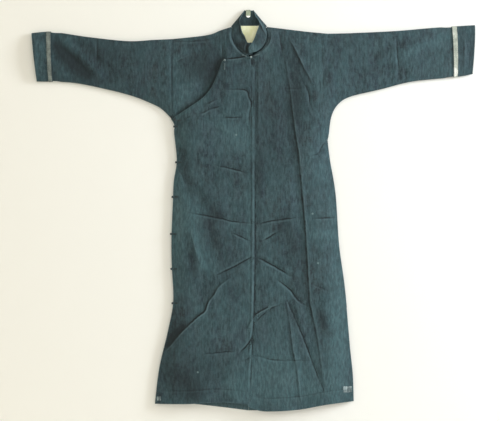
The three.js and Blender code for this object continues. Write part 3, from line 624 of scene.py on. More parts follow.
def add_patch(bm, columns, rows, place, keep=None):
    """A grid whose u and v run from 0 to 1, without the cells that keep refuses, moved to its place."""
    made = bmesh.ops.create_grid(bm, x_segments=columns, y_segments=rows, size=0.5)["verts"]
    if keep is not None:
        middles = {face: face.calc_center_median() for vert in made for face in vert.link_faces}
        cut = [face for face, middle in middles.items() if not keep(middle.x + 0.5, middle.y + 0.5)]
        bmesh.ops.delete(bm, geom=cut, context="FACES")
        made = [vert for vert in made if vert.is_valid]
    grid = np.array([vert.co for vert in made])
    places = place(grid[:, 0] + 0.5, grid[:, 1] + 0.5)
    for vert, co in zip(made, places):
        vert.co = co


def face_forward(bm):
    """Makes the faces agree, with the ones nearest the viewer facing the viewer."""
    bmesh.ops.recalc_face_normals(bm, faces=bm.faces)
    bm.normal_update()
    depths = sorted(face.calc_center_median().y for face in bm.faces)
    limit = depths[len(depths) // 5]
    facing = sum(face.normal.y * face.calc_area() for face in bm.faces
                 if face.calc_center_median().y <= limit)
    if facing > 0:
        bmesh.ops.reverse_faces(bm, faces=bm.faces)


def rim_distances(bm, free):
    """How far each point is from the cloth's nearest free edge: free(place) is false along a seam."""
    rim = [vert.co.copy() for vert in bm.verts if vert.is_boundary and free(vert.co)]
    if not rim:
        return None
    tree = kdtree.KDTree(len(rim))
    for index, co in enumerate(rim):
        tree.insert(co, index)
    tree.balance()
    return np.array([tree.find(vert.co)[2] for vert in bm.verts])


def no_seams(place):
    """Every edge of the cloth is free."""
    return True


def cloth_wall():
    """The robe's cloth thickness in millimetres, from the panel."""
    return bpy.context.scene.changshan.cloth_thickness / TO_METRES


def finish_cloth(name, bm, thickness, weld=PATCH_WELD, shade=None, free=no_seams):
    """Welds and turns a cloth's faces, scales it to metres and gives it its attributes and its wall."""
    bmesh.ops.remove_doubles(bm, verts=bm.verts, dist=weld)
    face_forward(bm)
    rim = rim_distances(bm, free)
    places = np.array([vert.co for vert in bm.verts])
    x, z = places[:, 0], places[:, 2]
    is_front = places[:, 1] < FOLD_DEPTH
    # The shading stays sharp where a sheet ends, so that its wall's edge isn't rounded
    for edge in bm.edges:
        edge.smooth = not edge.is_boundary
    piece = to_object(name, bm)
    for mark, sign in (("valley", -1), ("ridge", 1)):
        front, front_strength = crease_marks(FRONT_CREASES, x, z, sign)
        back, back_strength = crease_marks(BACK_CREASES, x, z, sign)
        put_attribute(piece, mark, np.where(is_front, front, back))
        put_attribute(piece, f"{mark}_strength", np.where(is_front, front_strength, back_strength))
    area = np.where(is_front, area_tone(FRONT_AREAS, x, z) + stroke_tone(FRONT_STROKES, x, z),
                    BACK_TONE_SHARE * area_tone(FRONT_AREAS, -x, z))
    if shade is not None:
        area = area + shade(x, places[:, 1], z)
    put_attribute(piece, "area", area)
    put_attribute(piece, "rim", rim * TO_METRES if rim is not None else np.full(len(places), 1.0))
    add_wall(piece, thickness)
    return piece


def add_wall(piece, thickness):
    """Gives a sheet its thickness, inwards from the outside that was built."""
    wall = piece.modifiers.new("Wall", "SOLIDIFY")
    wall.thickness = thickness * TO_METRES
    wall.offset = -1


def to_object(name, bm):
    """An object in metres, with smooth faces, from a mesh in millimetres."""
    bmesh.ops.scale(bm, vec=(TO_METRES,) * 3, verts=bm.verts)
    mesh = bpy.data.meshes.new(name)
    for face in bm.faces:
        face.smooth = True
    bm.to_mesh(mesh)
    bm.free()
    piece = bpy.data.objects.new(name, mesh)
    bpy.context.collection.objects.link(piece)
    return piece


def put_attribute(piece, name, values):
    """Stores one number at each point for the materials."""
    layer = piece.data.attributes.new(name, "FLOAT", "POINT")
    layer.data.foreach_set("value", np.asarray(values, np.float32))


def place_in_model(piece, material, slot, *nodes):
    """Gives a piece its material by key and its body, and hides the model's nodes that it replaces; slot is
    not used.
    """
    piece.data.materials.append(MATERIALS[material])
    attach(piece, "root")
    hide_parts(*nodes)


# Materials

MATERIALS = {}
WEAVE_SCALE = 160
CREASE_SCALES = (60, 30)

# Patterns of old indigo: scale along each axis, detail, roughness, and the stretch of the noise that shows
WEAR = {
    "Streaks": ((150, 60, 46), 4.0, 0.6, 0.42, 0.6),
    "Bands": ((60, 20, 5.5), 3.0, 0.5, 0.42, 0.6),
    "Slubs": ((60, 60, 260), 2.0, 0.6, 0.56, 0.74),
    "Mottle": ((58, 58, 44), 6.0, 0.7, 0.42, 0.6),
    "Patches": ((9, 9, 6), 4.0, 0.5, 0.38, 0.63),
    "Browns": ((7, 7, 4.5), 3.0, 0.5, 0.46, 0.66),
    "Clouds": ((19, 15, 9), 3.0, 0.55, 0.42, 0.62),
    "Grain": ((175, 90, 48), 3.0, 0.6, 0.42, 0.62),
}
WEAR_SHIFT = (0.31, 0.17, 0.23)

# Plain cottons: name, darker and lighter colour, threads per metre, sheen, and a label's colour if it has one
COTTONS = {
    "facing": ("undyed facing", (0.88, 0.89, 0.53), (0.98, 0.98, 0.72), 850, 0.05, None),
    "right_tape": ("worn tape", (0.11, 0.13, 0.12), (0.24, 0.27, 0.24), 1100, 0.05, None),
    "left_tape": ("pale tape", (0.24, 0.27, 0.23), (0.54, 0.57, 0.49), 1100, 0.05, (0.86, 0.87, 0.8)),
    "tab": ("hem tab cotton", (0.05, 0.075, 0.08), (0.36, 0.44, 0.45), 1000, 0.05, None),
    # The same cord in three brightnesses: a lighter copy, a painted highlight, for the neck and corner knots,
    # a middle copy for their loops, and a darker copy, painted shade, for the side and underarm buttons
    "cord": ("knot cord", (0.12, 0.165, 0.165), (0.36, 0.43, 0.43), 1400, 0.1, None),
    "loop_cord": ("loop cord", (0.035, 0.058, 0.063), (0.12, 0.17, 0.176), 1400, 0.1, None),
    "shaded_cord": ("dark knot cord", (0.012, 0.02, 0.022), (0.035, 0.055, 0.06), 1400, 0.1, None),
    "thread": ("sewing thread", (0.02, 0.034, 0.04), (0.05, 0.075, 0.08), 2500, 0.05, None),
}
SPECK_COLOUR = (0.24, 0.34, 0.34)


def feed(tree, socket, value):
    """Sets a socket to a number or a colour, or links it to another socket."""
    if isinstance(value, (int, float)):
        socket.default_value = value
    elif isinstance(value, tuple):
        socket.default_value = (*value, 1)
    else:
        tree.links.new(value, socket)


def new_group(name, inputs, outputs):
    """A node group with its inputs' defaults, and its input and output sockets; its outputs are numbers."""
    group = bpy.data.node_groups.new(name, "ShaderNodeTree")
    for socket, value in inputs.items():
        kind = "NodeSocketVector" if isinstance(value, tuple) else "NodeSocketFloat"
        group.interface.new_socket(socket, in_out="INPUT", socket_type=kind).default_value = value
    for socket in outputs:
        group.interface.new_socket(socket, in_out="OUTPUT", socket_type="NodeSocketFloat")
    return group, group.nodes.new("NodeGroupInput").outputs, group.nodes.new("NodeGroupOutput").inputs


def use_group(tree, group, inputs):
    """What a node group makes of its inputs."""
    node = tree.nodes.new("ShaderNodeGroup")
    node.node_tree = group
    for name, value in inputs.items():
        feed(tree, node.inputs[name], value)
    return node.outputs


def math_node(tree, operation, *values):
    """A maths node's result from numbers or sockets."""
    node = tree.nodes.new("ShaderNodeMath")
    node.operation = operation
    for socket, value in zip(node.inputs, values):
        feed(tree, socket, value)
    return node.outputs[0]


def times(tree, first, second):
    """One value times another."""
    return math_node(tree, "MULTIPLY", first, second)


def add_times(tree, value, share, rest):
    """A share of the value, added to the rest."""
    return math_node(tree, "MULTIPLY_ADD", value, share, rest)


def clamped(tree, value):
    """The value, held between 0 and 1."""
    return math_node(tree, "MINIMUM", math_node(tree, "MAXIMUM", value, 0.0), 1.0)


def vector_node(tree, operation, first, second):
    """A vector maths node on a socket and a fixed vector."""
    node = tree.nodes.new("ShaderNodeVectorMath")
    node.operation = operation
    tree.links.new(first, node.inputs[0])
    node.inputs[1].default_value = second
    return node


def mix_colour(tree, factor, first, second):
    """Goes from the first colour to the second by a factor."""
    node = tree.nodes.new("ShaderNodeMix")
    node.data_type = "RGBA"
    for index, value in ((0, factor), (6, first), (7, second)):
        feed(tree, node.inputs[index], value)
    return node.outputs[2]


def map_range(tree, value, low, high, to_low=0.0, to_high=1.0, kind="LINEAR"):
    """The value, moved from one range to another and held inside it."""
    node = tree.nodes.new("ShaderNodeMapRange")
    node.interpolation_type = kind
    for name, held in (("Value", value), ("From Min", low), ("From Max", high), ("To Min", to_low),
                       ("To Max", to_high)):
        feed(tree, node.inputs[name], held)
    return node.outputs["Result"]


def bell(tree, value, middle, width):
    """1 where the value is at the middle, and softly 0 a width away."""
    gap = math_node(tree, "ABSOLUTE", math_node(tree, "SUBTRACT", value, middle))
    return map_range(tree, gap, 0.0, width, 1.0, 0.0, "SMOOTHSTEP")


def axis(tree, place, name):
    """One coordinate of a place."""
    split = tree.nodes.new("ShaderNodeSeparateXYZ")
    tree.links.new(place, split.inputs[0])
    return split.outputs[name]


def stretched_noise(tree, vector, stretch, detail=3.0, roughness=0.6):
    """Noise with its own scale along each axis."""
    mapping = tree.nodes.new("ShaderNodeMapping")
    mapping.inputs["Scale"].default_value = stretch
    tree.links.new(vector, mapping.inputs["Vector"])
    noise = tree.nodes.new("ShaderNodeTexNoise")
    for name, value in (("Scale", 1.0), ("Detail", detail), ("Roughness", roughness),
                        ("Vector", mapping.outputs["Vector"])):
        feed(tree, noise.inputs[name], value)
    return noise.outputs["Fac"]


def attribute(tree, name):
    """A number stored at the mesh's points."""
    node = tree.nodes.new("ShaderNodeAttribute")
    node.attribute_name = name
    return node.outputs["Fac"]


def weave_group():
    """Warp and weft threads: a height for bump, and a mask that is light on the threads' crowns."""
    group, source, target = new_group("homespun weave", {"Vector": (0, 0, 0), "Threads": 900.0},
                                      ("Height", "Crowns"))
    wander = stretched_noise(group, source["Vector"], (WEAVE_SCALE,) * 3, 2.0)
    turns = times(group, source["Threads"], 2 * math.pi)
    warp, weft = (math_node(group, "SINE", add_times(group, axis(group, source["Vector"], way), turns,
                                                     times(group, wander, drift)))
                  for way, drift in (("X", 5.0), ("Z", 4.0)))
    crest = add_times(group, math_node(group, "MAXIMUM", warp, weft), 0.3, 0.35)
    height = add_times(group, times(group, warp, weft), 0.35, crest)
    group.links.new(height, target["Height"])
    group.links.new(map_range(group, height, 0.3, 1.0), target["Crowns"])
    return group


def wear_group():
    """Warp streaks, slubs and the mottling of old indigo, each a mask from 0 to 1."""
    group, source, target = new_group("indigo wear", {"Vector": (0, 0, 0)}, WEAR)
    for name, (stretch, detail, roughness, low, high) in WEAR.items():
        shift = tuple(step * len(name) for step in WEAR_SHIFT)
        shifted = vector_node(group, "ADD", source["Vector"], shift).outputs[0]
        noise = stretched_noise(group, shifted, stretch, detail, roughness)
        group.links.new(map_range(group, noise, low, high), target[name])
    return group


def crease_group():
    """Turns signed distances from crease lines, in metres, into masks of painted shade and painted highlight,
    and a height.
    """
    group, source, target = new_group(
        "crease lines", {"Vector": (0, 0, 0), "Valley": 0.02, "Valley Strength": 0.0, "Ridge": 0.02,
                         "Ridge Strength": 0.0}, ("Dark", "Light", "Height"))
    broad, long = (stretched_noise(group, source["Vector"], (scale,) * 3) for scale in CREASE_SCALES)
    wander = add_times(group, broad, 0.006, -0.003)
    broken = map_range(group, long, 0.36, 0.6, 0.45, 1.0)
    valley, ridge = (math_node(group, "ADD", source[name], wander) for name in ("Valley", "Ridge"))
    deep, high = (times(group, source[f"{name} Strength"], broken) for name in ("Valley", "Ridge"))

    def line(distance, strength, middle, width):
        return times(group, bell(group, distance, middle, width), strength)

    shaded_side = times(group, math_node(group, "GREATER_THAN", ridge, 0.0015),
                        map_range(group, ridge, 0.0, 0.019, 1.0, 0.0))
    soft = times(group, math_node(group, "POWER", shaded_side, 1.5), high)
    dark = add_times(group, soft, 0.75, times(group, line(valley, deep, 0.0, 0.0036), 1.9))
    dark = math_node(group, "ADD", line(ridge, high, 0.0046, 0.004), dark)
    light = add_times(group, line(valley, deep, 0.0058, 0.0042), 0.55, line(ridge, high, -0.0005, 0.0042))
    height = math_node(group, "SUBTRACT", line(ridge, high, 0.0, 0.008), line(valley, deep, 0.0, 0.008))
    for name, value in (("Dark", dark), ("Light", light), ("Height", height)):
        group.links.new(value, target[name])
    return group


def new_material(name, roughness=0.9, metallic=0.0, sheen=0.0):
    """A material, its nodes, its shader and the object's coordinates."""
    material = bpy.data.materials.new(name)
    material.use_nodes = True
    tree = material.node_tree
    shader = tree.nodes["Principled BSDF"]
    for socket, value in (("Roughness", roughness), ("Metallic", metallic), ("Sheen Weight", sheen),
                          ("Sheen Roughness", 0.5)):
        shader.inputs[socket].default_value = value
    return material, tree, shader, tree.nodes.new("ShaderNodeTexCoord").outputs["Object"]


def add_bump(tree, shader, height, strength, distance):
    """Bumps a shader's surface by a height, over a distance in metres."""
    bump = tree.nodes.new("ShaderNodeBump")
    for name, value in (("Strength", strength), ("Distance", distance), ("Height", height)):
        feed(tree, bump.inputs[name], value)
    tree.links.new(bump.outputs["Normal"], shader.inputs["Normal"])


def indigo_cloth(settings, weave, wear, creases):
    """Dark blue-green homespun: streaked along the warp, paler at its edges from wear and a painted
    highlight, with painted shade and painted highlights along its creases and in shaded and lit areas.
    """
    material, tree, shader, place = new_material("indigo homespun", 0.9, 0.0, 0.04)
    threads = use_group(tree, weave, {"Vector": place, "Threads": 1000 / settings.thread_pitch})
    mask = use_group(tree, wear, {"Vector": place})
    marks = {name: attribute(tree, name.lower().replace(" ", "_"))
             for name in ("Valley", "Valley Strength", "Ridge", "Ridge Strength")}
    lines = use_group(tree, creases, {"Vector": place, **marks})
    shades = {name: tuple(getattr(settings, name)) for name in
              ("cloth", "deep", "teal", "faded", "blue", "brown", "pale", "shadow")}
    area = attribute(tree, "area")
    # Where the area is lightest: worn bare cloth and painted light
    wear_and_painted_light = clamped(tree, math_node(tree, "SUBTRACT", area, 1.2))
    # Paler within a few millimetres of a free edge: wear, with a painted highlight along the edge
    edge = times(tree, map_range(tree, attribute(tree, "rim"), 0.0, 0.0045, 1.0, 0.0),
                 map_range(tree, mask["Mottle"], 0, 1, 0.3, 1.0))
    colour = mix_colour(tree, mask["Patches"], shades["deep"], shades["cloth"])
    # The area's lighter tones are wear and painted light, its darker ones painted shade
    for factor, share, shade in (
            (mask["Browns"], 0.65, "brown"), (mask["Bands"], 0.5, "blue"), (mask["Clouds"], 0.6, "teal"),
            (mask["Mottle"], 0.6, "teal"), (clamped(tree, area), 0.75, "faded"), (wear_and_painted_light, 0.8, "pale"),
            (mask["Streaks"], 0.4, "pale"), (mask["Slubs"], 0.3, "pale"), (mask["Grain"], 0.44, "deep"),
            (clamped(tree, times(tree, area, -1.0)), 0.8, "shadow")):
        colour = mix_colour(tree, times(tree, factor, share), colour, shades[shade])
    # Painted highlight on the lit side of each crease line, and painted shade on its far side and along its
    # valley
    for name, shade in (("Light", "pale"), ("Dark", "shadow")):
        colour = mix_colour(tree, math_node(tree, "MINIMUM", lines[name], 0.95), colour, shades[shade])
    colour = mix_colour(tree, times(tree, edge, 0.55), colour, shades["pale"])
    flat = vector_node(tree, "MULTIPLY", place, (1, 0, 1)).outputs[0]
    full, gone = (reach * TO_METRES for reach in SPECK_REACH)
    for x, z in SPECKS:
        near = vector_node(tree, "DISTANCE", flat, (x * TO_METRES, 0, z * TO_METRES)).outputs["Value"]
        spot = map_range(tree, near, full, gone, SPECK_SHARE, 0.0)
        colour = mix_colour(tree, spot, colour, SPECK_COLOUR)
    tree.links.new(colour, shader.inputs["Base Color"])
    height = add_times(tree, mask["Mottle"], 0.5, times(tree, lines["Height"], 2.2))
    height = add_times(tree, mask["Streaks"], 0.3, height)
    add_bump(tree, shader, add_times(tree, threads["Height"], 0.25, height), 0.7, 0.0009)
    return material


def plain_cotton(weave, wear, name, low, high, threads_per_metre, sheen, label):
    """Undyed or faded cotton between two colours, with a visible weave and perhaps a label."""
    material, tree, shader, place = new_material(name, 0.93, 0.0, sheen)
    threads = use_group(tree, weave, {"Vector": place, "Threads": threads_per_metre})
    mask = use_group(tree, wear, {"Vector": place})
    factor = add_times(tree, mask["Mottle"], 0.6, times(tree, mask["Streaks"], 0.4))
    colour = mix_colour(tree, factor, low, high)
    colour = mix_colour(tree, times(tree, threads["Crowns"], 0.25), colour, high)
    if label is not None:
        clean = math_node(tree, "SUBTRACT", 1.0, times(tree, mask["Grain"], 0.6))
        marked = times(tree, map_range(tree, attribute(tree, "area"), 0.35, 0.6), clean)
        colour = mix_colour(tree, marked, colour, label)
    tree.links.new(colour, shader.inputs["Base Color"])
    add_bump(tree, shader, threads["Height"], 0.6, 0.0005)
    return material


def hook_paint():
    """Grey-green painted strip, pale silver at its tip."""
    material, tree, shader, place = new_material("hook metal", 0.4, 0.75)
    pale_tip = map_range(tree, axis(tree, place, "Z"), 0.001, -0.002)
    scuffs = map_range(tree, stretched_noise(tree, place, (260, 260, 90), 5.0), 0.4, 0.65)
    colour = mix_colour(tree, scuffs, (0.2, 0.24, 0.17), (0.33, 0.37, 0.29))
    colour = mix_colour(tree, pale_tip, colour, (0.78, 0.8, 0.78))
    tree.links.new(colour, shader.inputs["Base Color"])
    tree.links.new(map_range(tree, scuffs, 0, 1, 0.3, 0.5), shader.inputs["Roughness"])
    add_bump(tree, shader, scuffs, 0.15, 0.0004)
    return material


def wall_paint():
    """White wall with painted light across it, seen only from the front so that the robe's back can be looked
    at.
    """
    material, tree, shader, place = new_material("wall paint", 0.95)
    # Painted light: brighter and creamier on the left, away from the window lamp, and greyer on the right,
    # evening out the lamp's fall-off and giving the wall's shaded side a warm cast
    across = map_range(tree, axis(tree, place, "X"), -0.9, 0.9)
    colour = mix_colour(tree, across, (0.955, 0.925, 0.845), (0.86, 0.855, 0.83))
    tree.links.new(colour, shader.inputs["Base Color"])
    clear = tree.nodes.new("ShaderNodeBsdfTransparent")
    mix = tree.nodes.new("ShaderNodeMixShader")
    side = tree.nodes.new("ShaderNodeNewGeometry")
    for index, socket in enumerate((side.outputs["Backfacing"], shader.outputs[0], clear.outputs[0])):
        tree.links.new(socket, mix.inputs[index])
    tree.links.new(mix.outputs[0], tree.nodes["Material Output"].inputs["Surface"])
    return material


def floor_paint():
    """Pale grey floor with a little unevenness."""
    material, tree, shader, place = new_material("floor paint", 0.8)
    grain = map_range(tree, stretched_noise(tree, place, (3, 3, 3), 4.0), 0.4, 0.6)
    tree.links.new(mix_colour(tree, grain, (0.56, 0.545, 0.51), (0.6, 0.585, 0.55)),
                   shader.inputs["Base Color"])
    return material


def make_materials(settings):
    """Makes every material of the robe and its hook, by key."""
    weave, wear = weave_group(), wear_group()
    MATERIALS["cloth"] = indigo_cloth(settings, weave, wear, crease_group())
    for key, row in COTTONS.items():
        MATERIALS[key] = plain_cotton(weave, wear, *row)
    MATERIALS["hook"] = hook_paint()


# Panels

# Where a patch meets its fold, the part of the side's fold that the vent cuts away, and the free edges
FOLD_START = 0.9999
VENT_ROUND = (0.25, 0.75)
VENT_SIDE = 240
FREE_BELOW = -1285

# Painted light on the back's inside under the front's hem, which lies in the front's shade: strength, and
# from where to where it grows
HEM_PAINTED_LIGHT = {"share": 2.6, "down": (1296, 1306), "right": (-240, -170), "centre": (-12, 0)}

# Shade beside the outer front's curved edge: strength, middle and reach
PLACKET_SHADES = [(1.3, 1, 8), (0.45, 0, 30)]


def build_half(side, rise, nodes):
    """Front and back of one half, over the shoulder in one cloth and closed down the side to the vent."""
    lines, turn = LINES[side], HALVES[side]["sign"]
    front_yoke, front_skirt = half_patches(side, "front")
    back_yoke, back_skirt = half_patches(side, "back")
    height_at = side_heights(lines["side"], turn)

    def front(x, z, distance):
        depth = front_depth(x, z, 0.0, rise, distance)
        return depth + placket_sink(x, z, distance)[0] if side == "right" else depth

    def wall(patch, depth, is_skirt):
        def place(u, v):
            plane = patch(u, v)
            on_fold = (u if is_skirt else v) > FOLD_START
            distance = np.where(on_fold, FOLD_RADIUS, edge_distance(plane[:, 0], plane[:, 1]))
            return with_depth(plane, depth(plane[:, 0], plane[:, 1], distance))

        return place

    def keep_front(u, v):
        return side == "left" or v < FLAP_FULL or (u > FLAP_INNER and height_at(v) > FLAP_END)

    def keep_side(u, v):
        open_vent = height_at(v) < VENT_TOP and VENT_ROUND[0] < u < VENT_ROUND[1]
        flap_gone = side == "right" and height_at(v) < FLAP_END and u < 0.5
        return not open_vent and not flap_gone

    # Painted light in the strip under the front's hem, and on the right half painted shade beside the outer
    # front's curved edge
    def shade(x, y, z):
        strip = HEM_PAINTED_LIGHT["share"] * (y > FOLD_DEPTH) * smooth(-z, *HEM_PAINTED_LIGHT["down"])
        strip *= smooth(x, *HEM_PAINTED_LIGHT["right"]) * smooth(-x, *HEM_PAINTED_LIGHT["centre"])
        if side == "left":
            return strip
        _, outward, fade = placket_sink(x, z, edge_distance(x, z))
        beside = sum(share * np.exp(-((outward - middle) / reach) ** 2)
                     for share, middle, reach in PLACKET_SHADES)
        return strip + np.where(y < FOLD_DEPTH - 1, -fade * beside, 0)

    def free(place):
        return place.z < FREE_BELOW or (place.z < VENT_TOP and abs(place.x) > VENT_SIDE)

    bm = bmesh.new()
    add_patch(bm, PANEL_COLUMNS, YOKE_ROWS, wall(front_yoke, front, False))
    add_patch(bm, PANEL_COLUMNS, SKIRT_ROWS, wall(front_skirt, front, True), keep_front)
    add_patch(bm, PANEL_COLUMNS, YOKE_ROWS, wall(back_yoke, back_depth, False))
    add_patch(bm, PANEL_COLUMNS, SKIRT_ROWS, wall(back_skirt, back_depth, True))
    add_patch(bm, PANEL_COLUMNS, FOLD_STEPS,
              lambda u, v: fold_places(lines["shoulder"], u, turn, 90 - 180 * v))
    add_patch(bm, FOLD_STEPS, SKIRT_ROWS, lambda u, v: fold_places(lines["side"], v, turn, 90 - 180 * u),
              keep_side)
    piece = finish_cloth(f"{side}_half_cloth", bm, cloth_wall(), PANEL_WELD, shade, free)
    place_in_model(piece, "cloth", "homespun_cloth", *nodes)
    return piece


def side_heights(line, turn):
    """Height of the side's fold at a share of its length."""
    shares = np.linspace(0, 1, 200)
    heights = inside_of(line, shares, turn, FOLD_RADIUS)[:, 1]
    return lambda v: float(np.interp(v, shares, heights))


# The outer front: its width and height, how far its free edge stands out and turns back, where its seam at
# the centre ends, and its rolled edge
OUTER_WIDTH = 255
OUTER_HEIGHT = 1150.0
OUTER_REACH = FOLD_RADIUS + SIDE_INSET - SEAM_GAP
OUTER_TURN = 1.2
OUTER_SEAM = (-22, -150)
EDGE_ROLL = {"reach": 6.0, "depth": 1.6, "rows": 5}


def outer_places(u, v):
    """The outer front's places, on the under-flap's points and moved out from it."""
    _, skirt = half_patches("right", "front")
    v = np.interp(v, (0, EDGE_ROLL["rows"] / OUTER_ROWS, 1), (0, EDGE_ROLL["reach"] / OUTER_HEIGHT, 1))
    reach = 1 + OUTER_REACH / OUTER_WIDTH
    plane = skirt(np.minimum(u * reach, 1), v)
    over = np.maximum(u * reach - 1, 0) / (reach - 1)
    distance = np.where(u * reach >= 1, FOLD_RADIUS, edge_distance(plane[:, 0], plane[:, 1]))
    depth = front_depth(plane[:, 0], plane[:, 1], OUTER_STEP, OUTER_SWELL, distance)
    places = with_depth(plane, depth)
    places[:, 0] -= over * OUTER_REACH
    places[:, 1] += OUTER_TURN * over ** 2
    places[:, 1] += EDGE_ROLL["depth"] * (1 - smooth(v * OUTER_HEIGHT, 0, EDGE_ROLL["reach"]))
    return places


def one_patch(name, columns, rows, place, thickness, weld=PATCH_WELD, shade=None, free=no_seams):
    """A cloth laid out as one patch."""
    bm = bmesh.new()
    add_patch(bm, columns, rows, place)
    return finish_cloth(name, bm, thickness, weld, shade, free)


def build_outer_front():
    """The overlapping right front; its seam at the centre isn't a free edge."""
    piece = one_patch("outer_front_cloth", PANEL_COLUMNS + 2, OUTER_ROWS, outer_places, cloth_wall(),
                      free=lambda place: place.x < OUTER_SEAM[0] or place.z > OUTER_SEAM[1])
    place_in_model(piece, "cloth", "homespun_cloth", "outer_front")
    return piece


# Shares of the way round a sleeve that a face and a fold take, how far along it starts, how far before the
# cuff it starts to sink and is down, and how far from the middle its edge is a free one
SLEEVE_FACE = 0.44
SLEEVE_FOLD = 0.06
SLEEVE_START = 0.0006
UNDER_CUFF = (0.08, 0.03)
SLEEVE_MOUTH = 400


def sleeve_places(side, rise, start, end, layer):
    """One sleeve, or a band round it: u runs down the front and up the back, v along its length."""
    half, lines, turn = HALVES[side], LINES[side], HALVES[side]["sign"]

    def place(u, v):
        share = start + (end - start) * v
        base = CUFF_LAYER * smooth(share, *(half["cuff_start"] - before for before in UNDER_CUFF))
        if layer > 0:
            base = np.full(share.shape, CUFF_LAYER)
        below = 1 - (1 - share) * (1 - half["cuff_lag"] * (1 - (1 - share) ** 2))
        top = inside_of(lines["sleeve_top"], share, turn, FOLD_RADIUS + base)
        bottom = inside_of(lines["sleeve_bottom"], below, -turn, FOLD_RADIUS + base)
        turned = u % 1.0
        on_front = turned <= SLEEVE_FACE
        on_back = (turned >= 0.5) & (turned <= 0.5 + SLEEVE_FACE)
        down = np.where(on_front, turned / SLEEVE_FACE,
                        np.where(on_back, 1 - (turned - 0.5) / SLEEVE_FACE, 0))
        plane = top + (bottom - top) * down[:, None]
        inner = (down > 0.0005) & (down < 0.9995)
        distance = np.where(inner, edge_distance(plane[:, 0], plane[:, 1]), FOLD_RADIUS)
        front = front_depth(plane[:, 0], plane[:, 1], layer, rise, distance)
        back = np.minimum(back_depth(plane[:, 0], plane[:, 1], distance) + layer, BAND_BACK_LIMIT)
        places = with_depth(plane, np.where(on_front, front, back))
        for low, line, lengthwise, sign, flip in (
                (SLEEVE_FACE, "sleeve_bottom", below, -turn, 1),
                (0.5 + SLEEVE_FACE, "sleeve_top", share, turn, -1)):
            on_fold = (turned > low) & (turned < low + SLEEVE_FOLD)
            if on_fold.any():
                angle = flip * (90 - 180 * (turned[on_fold] - low) / SLEEVE_FOLD)
                places[on_fold] = fold_places(lines[line], lengthwise[on_fold], sign, angle,
                                              FOLD_RADIUS + layer, base[on_fold])
        return places

    return place


def band_places(side, rise):
    """The cuff's places and the tape's, each round the sleeve's end."""
    start = HALVES[side]["cuff_start"]
    return (sleeve_places(side, rise, start, 1.0, CUFF_LAYER),
            sleeve_places(side, rise, start + TAPE_START, start + TAPE_SHARE, TAPE_LAYER))


def build_sleeve(side, rise, tape_material):
    """A sleeve, its turned-back cuff and the tape on the cuff's inner edge."""
    cuff_places, tape_places = band_places(side, rise)
    sleeve = one_patch(f"{side}_sleeve_cloth", SLEEVE_ROUND, SLEEVE_ROWS,
                       sleeve_places(side, rise, SLEEVE_START, 1.0, 0.0), cloth_wall(), TUBE_WELD,
                       free=lambda place: abs(place.x) > SLEEVE_MOUTH)
    place_in_model(sleeve, "cloth", "homespun_cloth", f"{side}_sleeve")
    cuff = one_patch(f"{side}_cuff_cloth", SLEEVE_ROUND, 16, cuff_places, CUFF_WALL, TUBE_WELD)
    place_in_model(cuff, "cloth", "homespun_cloth", f"{side}_cuff")
    tape = one_patch(f"{side}_cuff_tape_cloth", SLEEVE_ROUND, 5, tape_places, TRIM_WALL, TUBE_WELD)
    place_in_model(tape, tape_material, "cuff_tape", f"{side}_cuff_tape")
    return sleeve, cuff, tape


# Collar and facing

# Stations from the right front end round the back to the left: base, its depth, top edge and its depth
COLLAR = [
    ((13, -133), -24.5, (12, -94), -26.5), ((-4, -136), -25, (-2, -94), -27),
    ((-19, -127), -25, (-6.5, -88), -28), ((-37, -110), -25, (-13, -72), -28),
    ((-46, -95), -24, (-21.5, -57), -26), ((-53.4, -73), -20.5, (-27, -34), -22),
    ((-56, -56), -15.5, (-30, -17), -17), ((-55.5, -43), -11.4, (-22, 3), -11.5),
    ((-58, -36.5), -8.2, (-14, 18), -6.5), ((-54, -33.6), -4.8, (-10.5, 18), -2.2),
    ((-28, -33.6), -4, (-6, 18), -2.2), ((2, -33.6), -4, (2, 18), -2.2), ((32, -33.6), -4, (9, 18), -2.2),
    ((58, -33.9), -4.8, (13.5, 18), -2.2), ((62, -36.5), -8.2, (17, 18), -6.5),
    ((59.2, -43), -11.4, (23, 0), -11.5), ((61.4, -57), -16, (36, -21), -17),
    ((61.8, -72), -21, (35, -37), -23), ((58.4, -87), -25, (28, -57), -27),
    ((54, -98), -28, (20.5, -78), -29.5), ((46, -111), -30, (12, -95), -31),
    ((30, -123), -31, (4, -105), -32), ((3, -131), -31.2, (-2, -113), -31.8),
]
COLLAR_BOW = 1.6
COLLAR_RIPPLE = 0.6

# The facing's half widths by height, and how far it lies in front of the back
FACING = [(-34.8, 47), (-52, 52), (-75, 50), (-98, 40), (-116, 24)]
FACING_LIFT = 4.2


def smooth_through(knots, values, wanted):
    """Smooth interpolation through table values, without overshoot at its ends."""
    slopes = np.gradient(values, knots)
    index = np.clip(np.searchsorted(knots, wanted, side="right") - 1, 0, len(knots) - 2)
    width = knots[index + 1] - knots[index]
    share = (wanted - knots[index]) / width
    square, cube = share ** 2, share ** 3
    return ((2 * cube - 3 * square + 1) * values[index] + (cube - 2 * square + share) * width * slopes[index]
            + (3 * square - 2 * cube) * values[index + 1] + (cube - square) * width * slopes[index + 1])


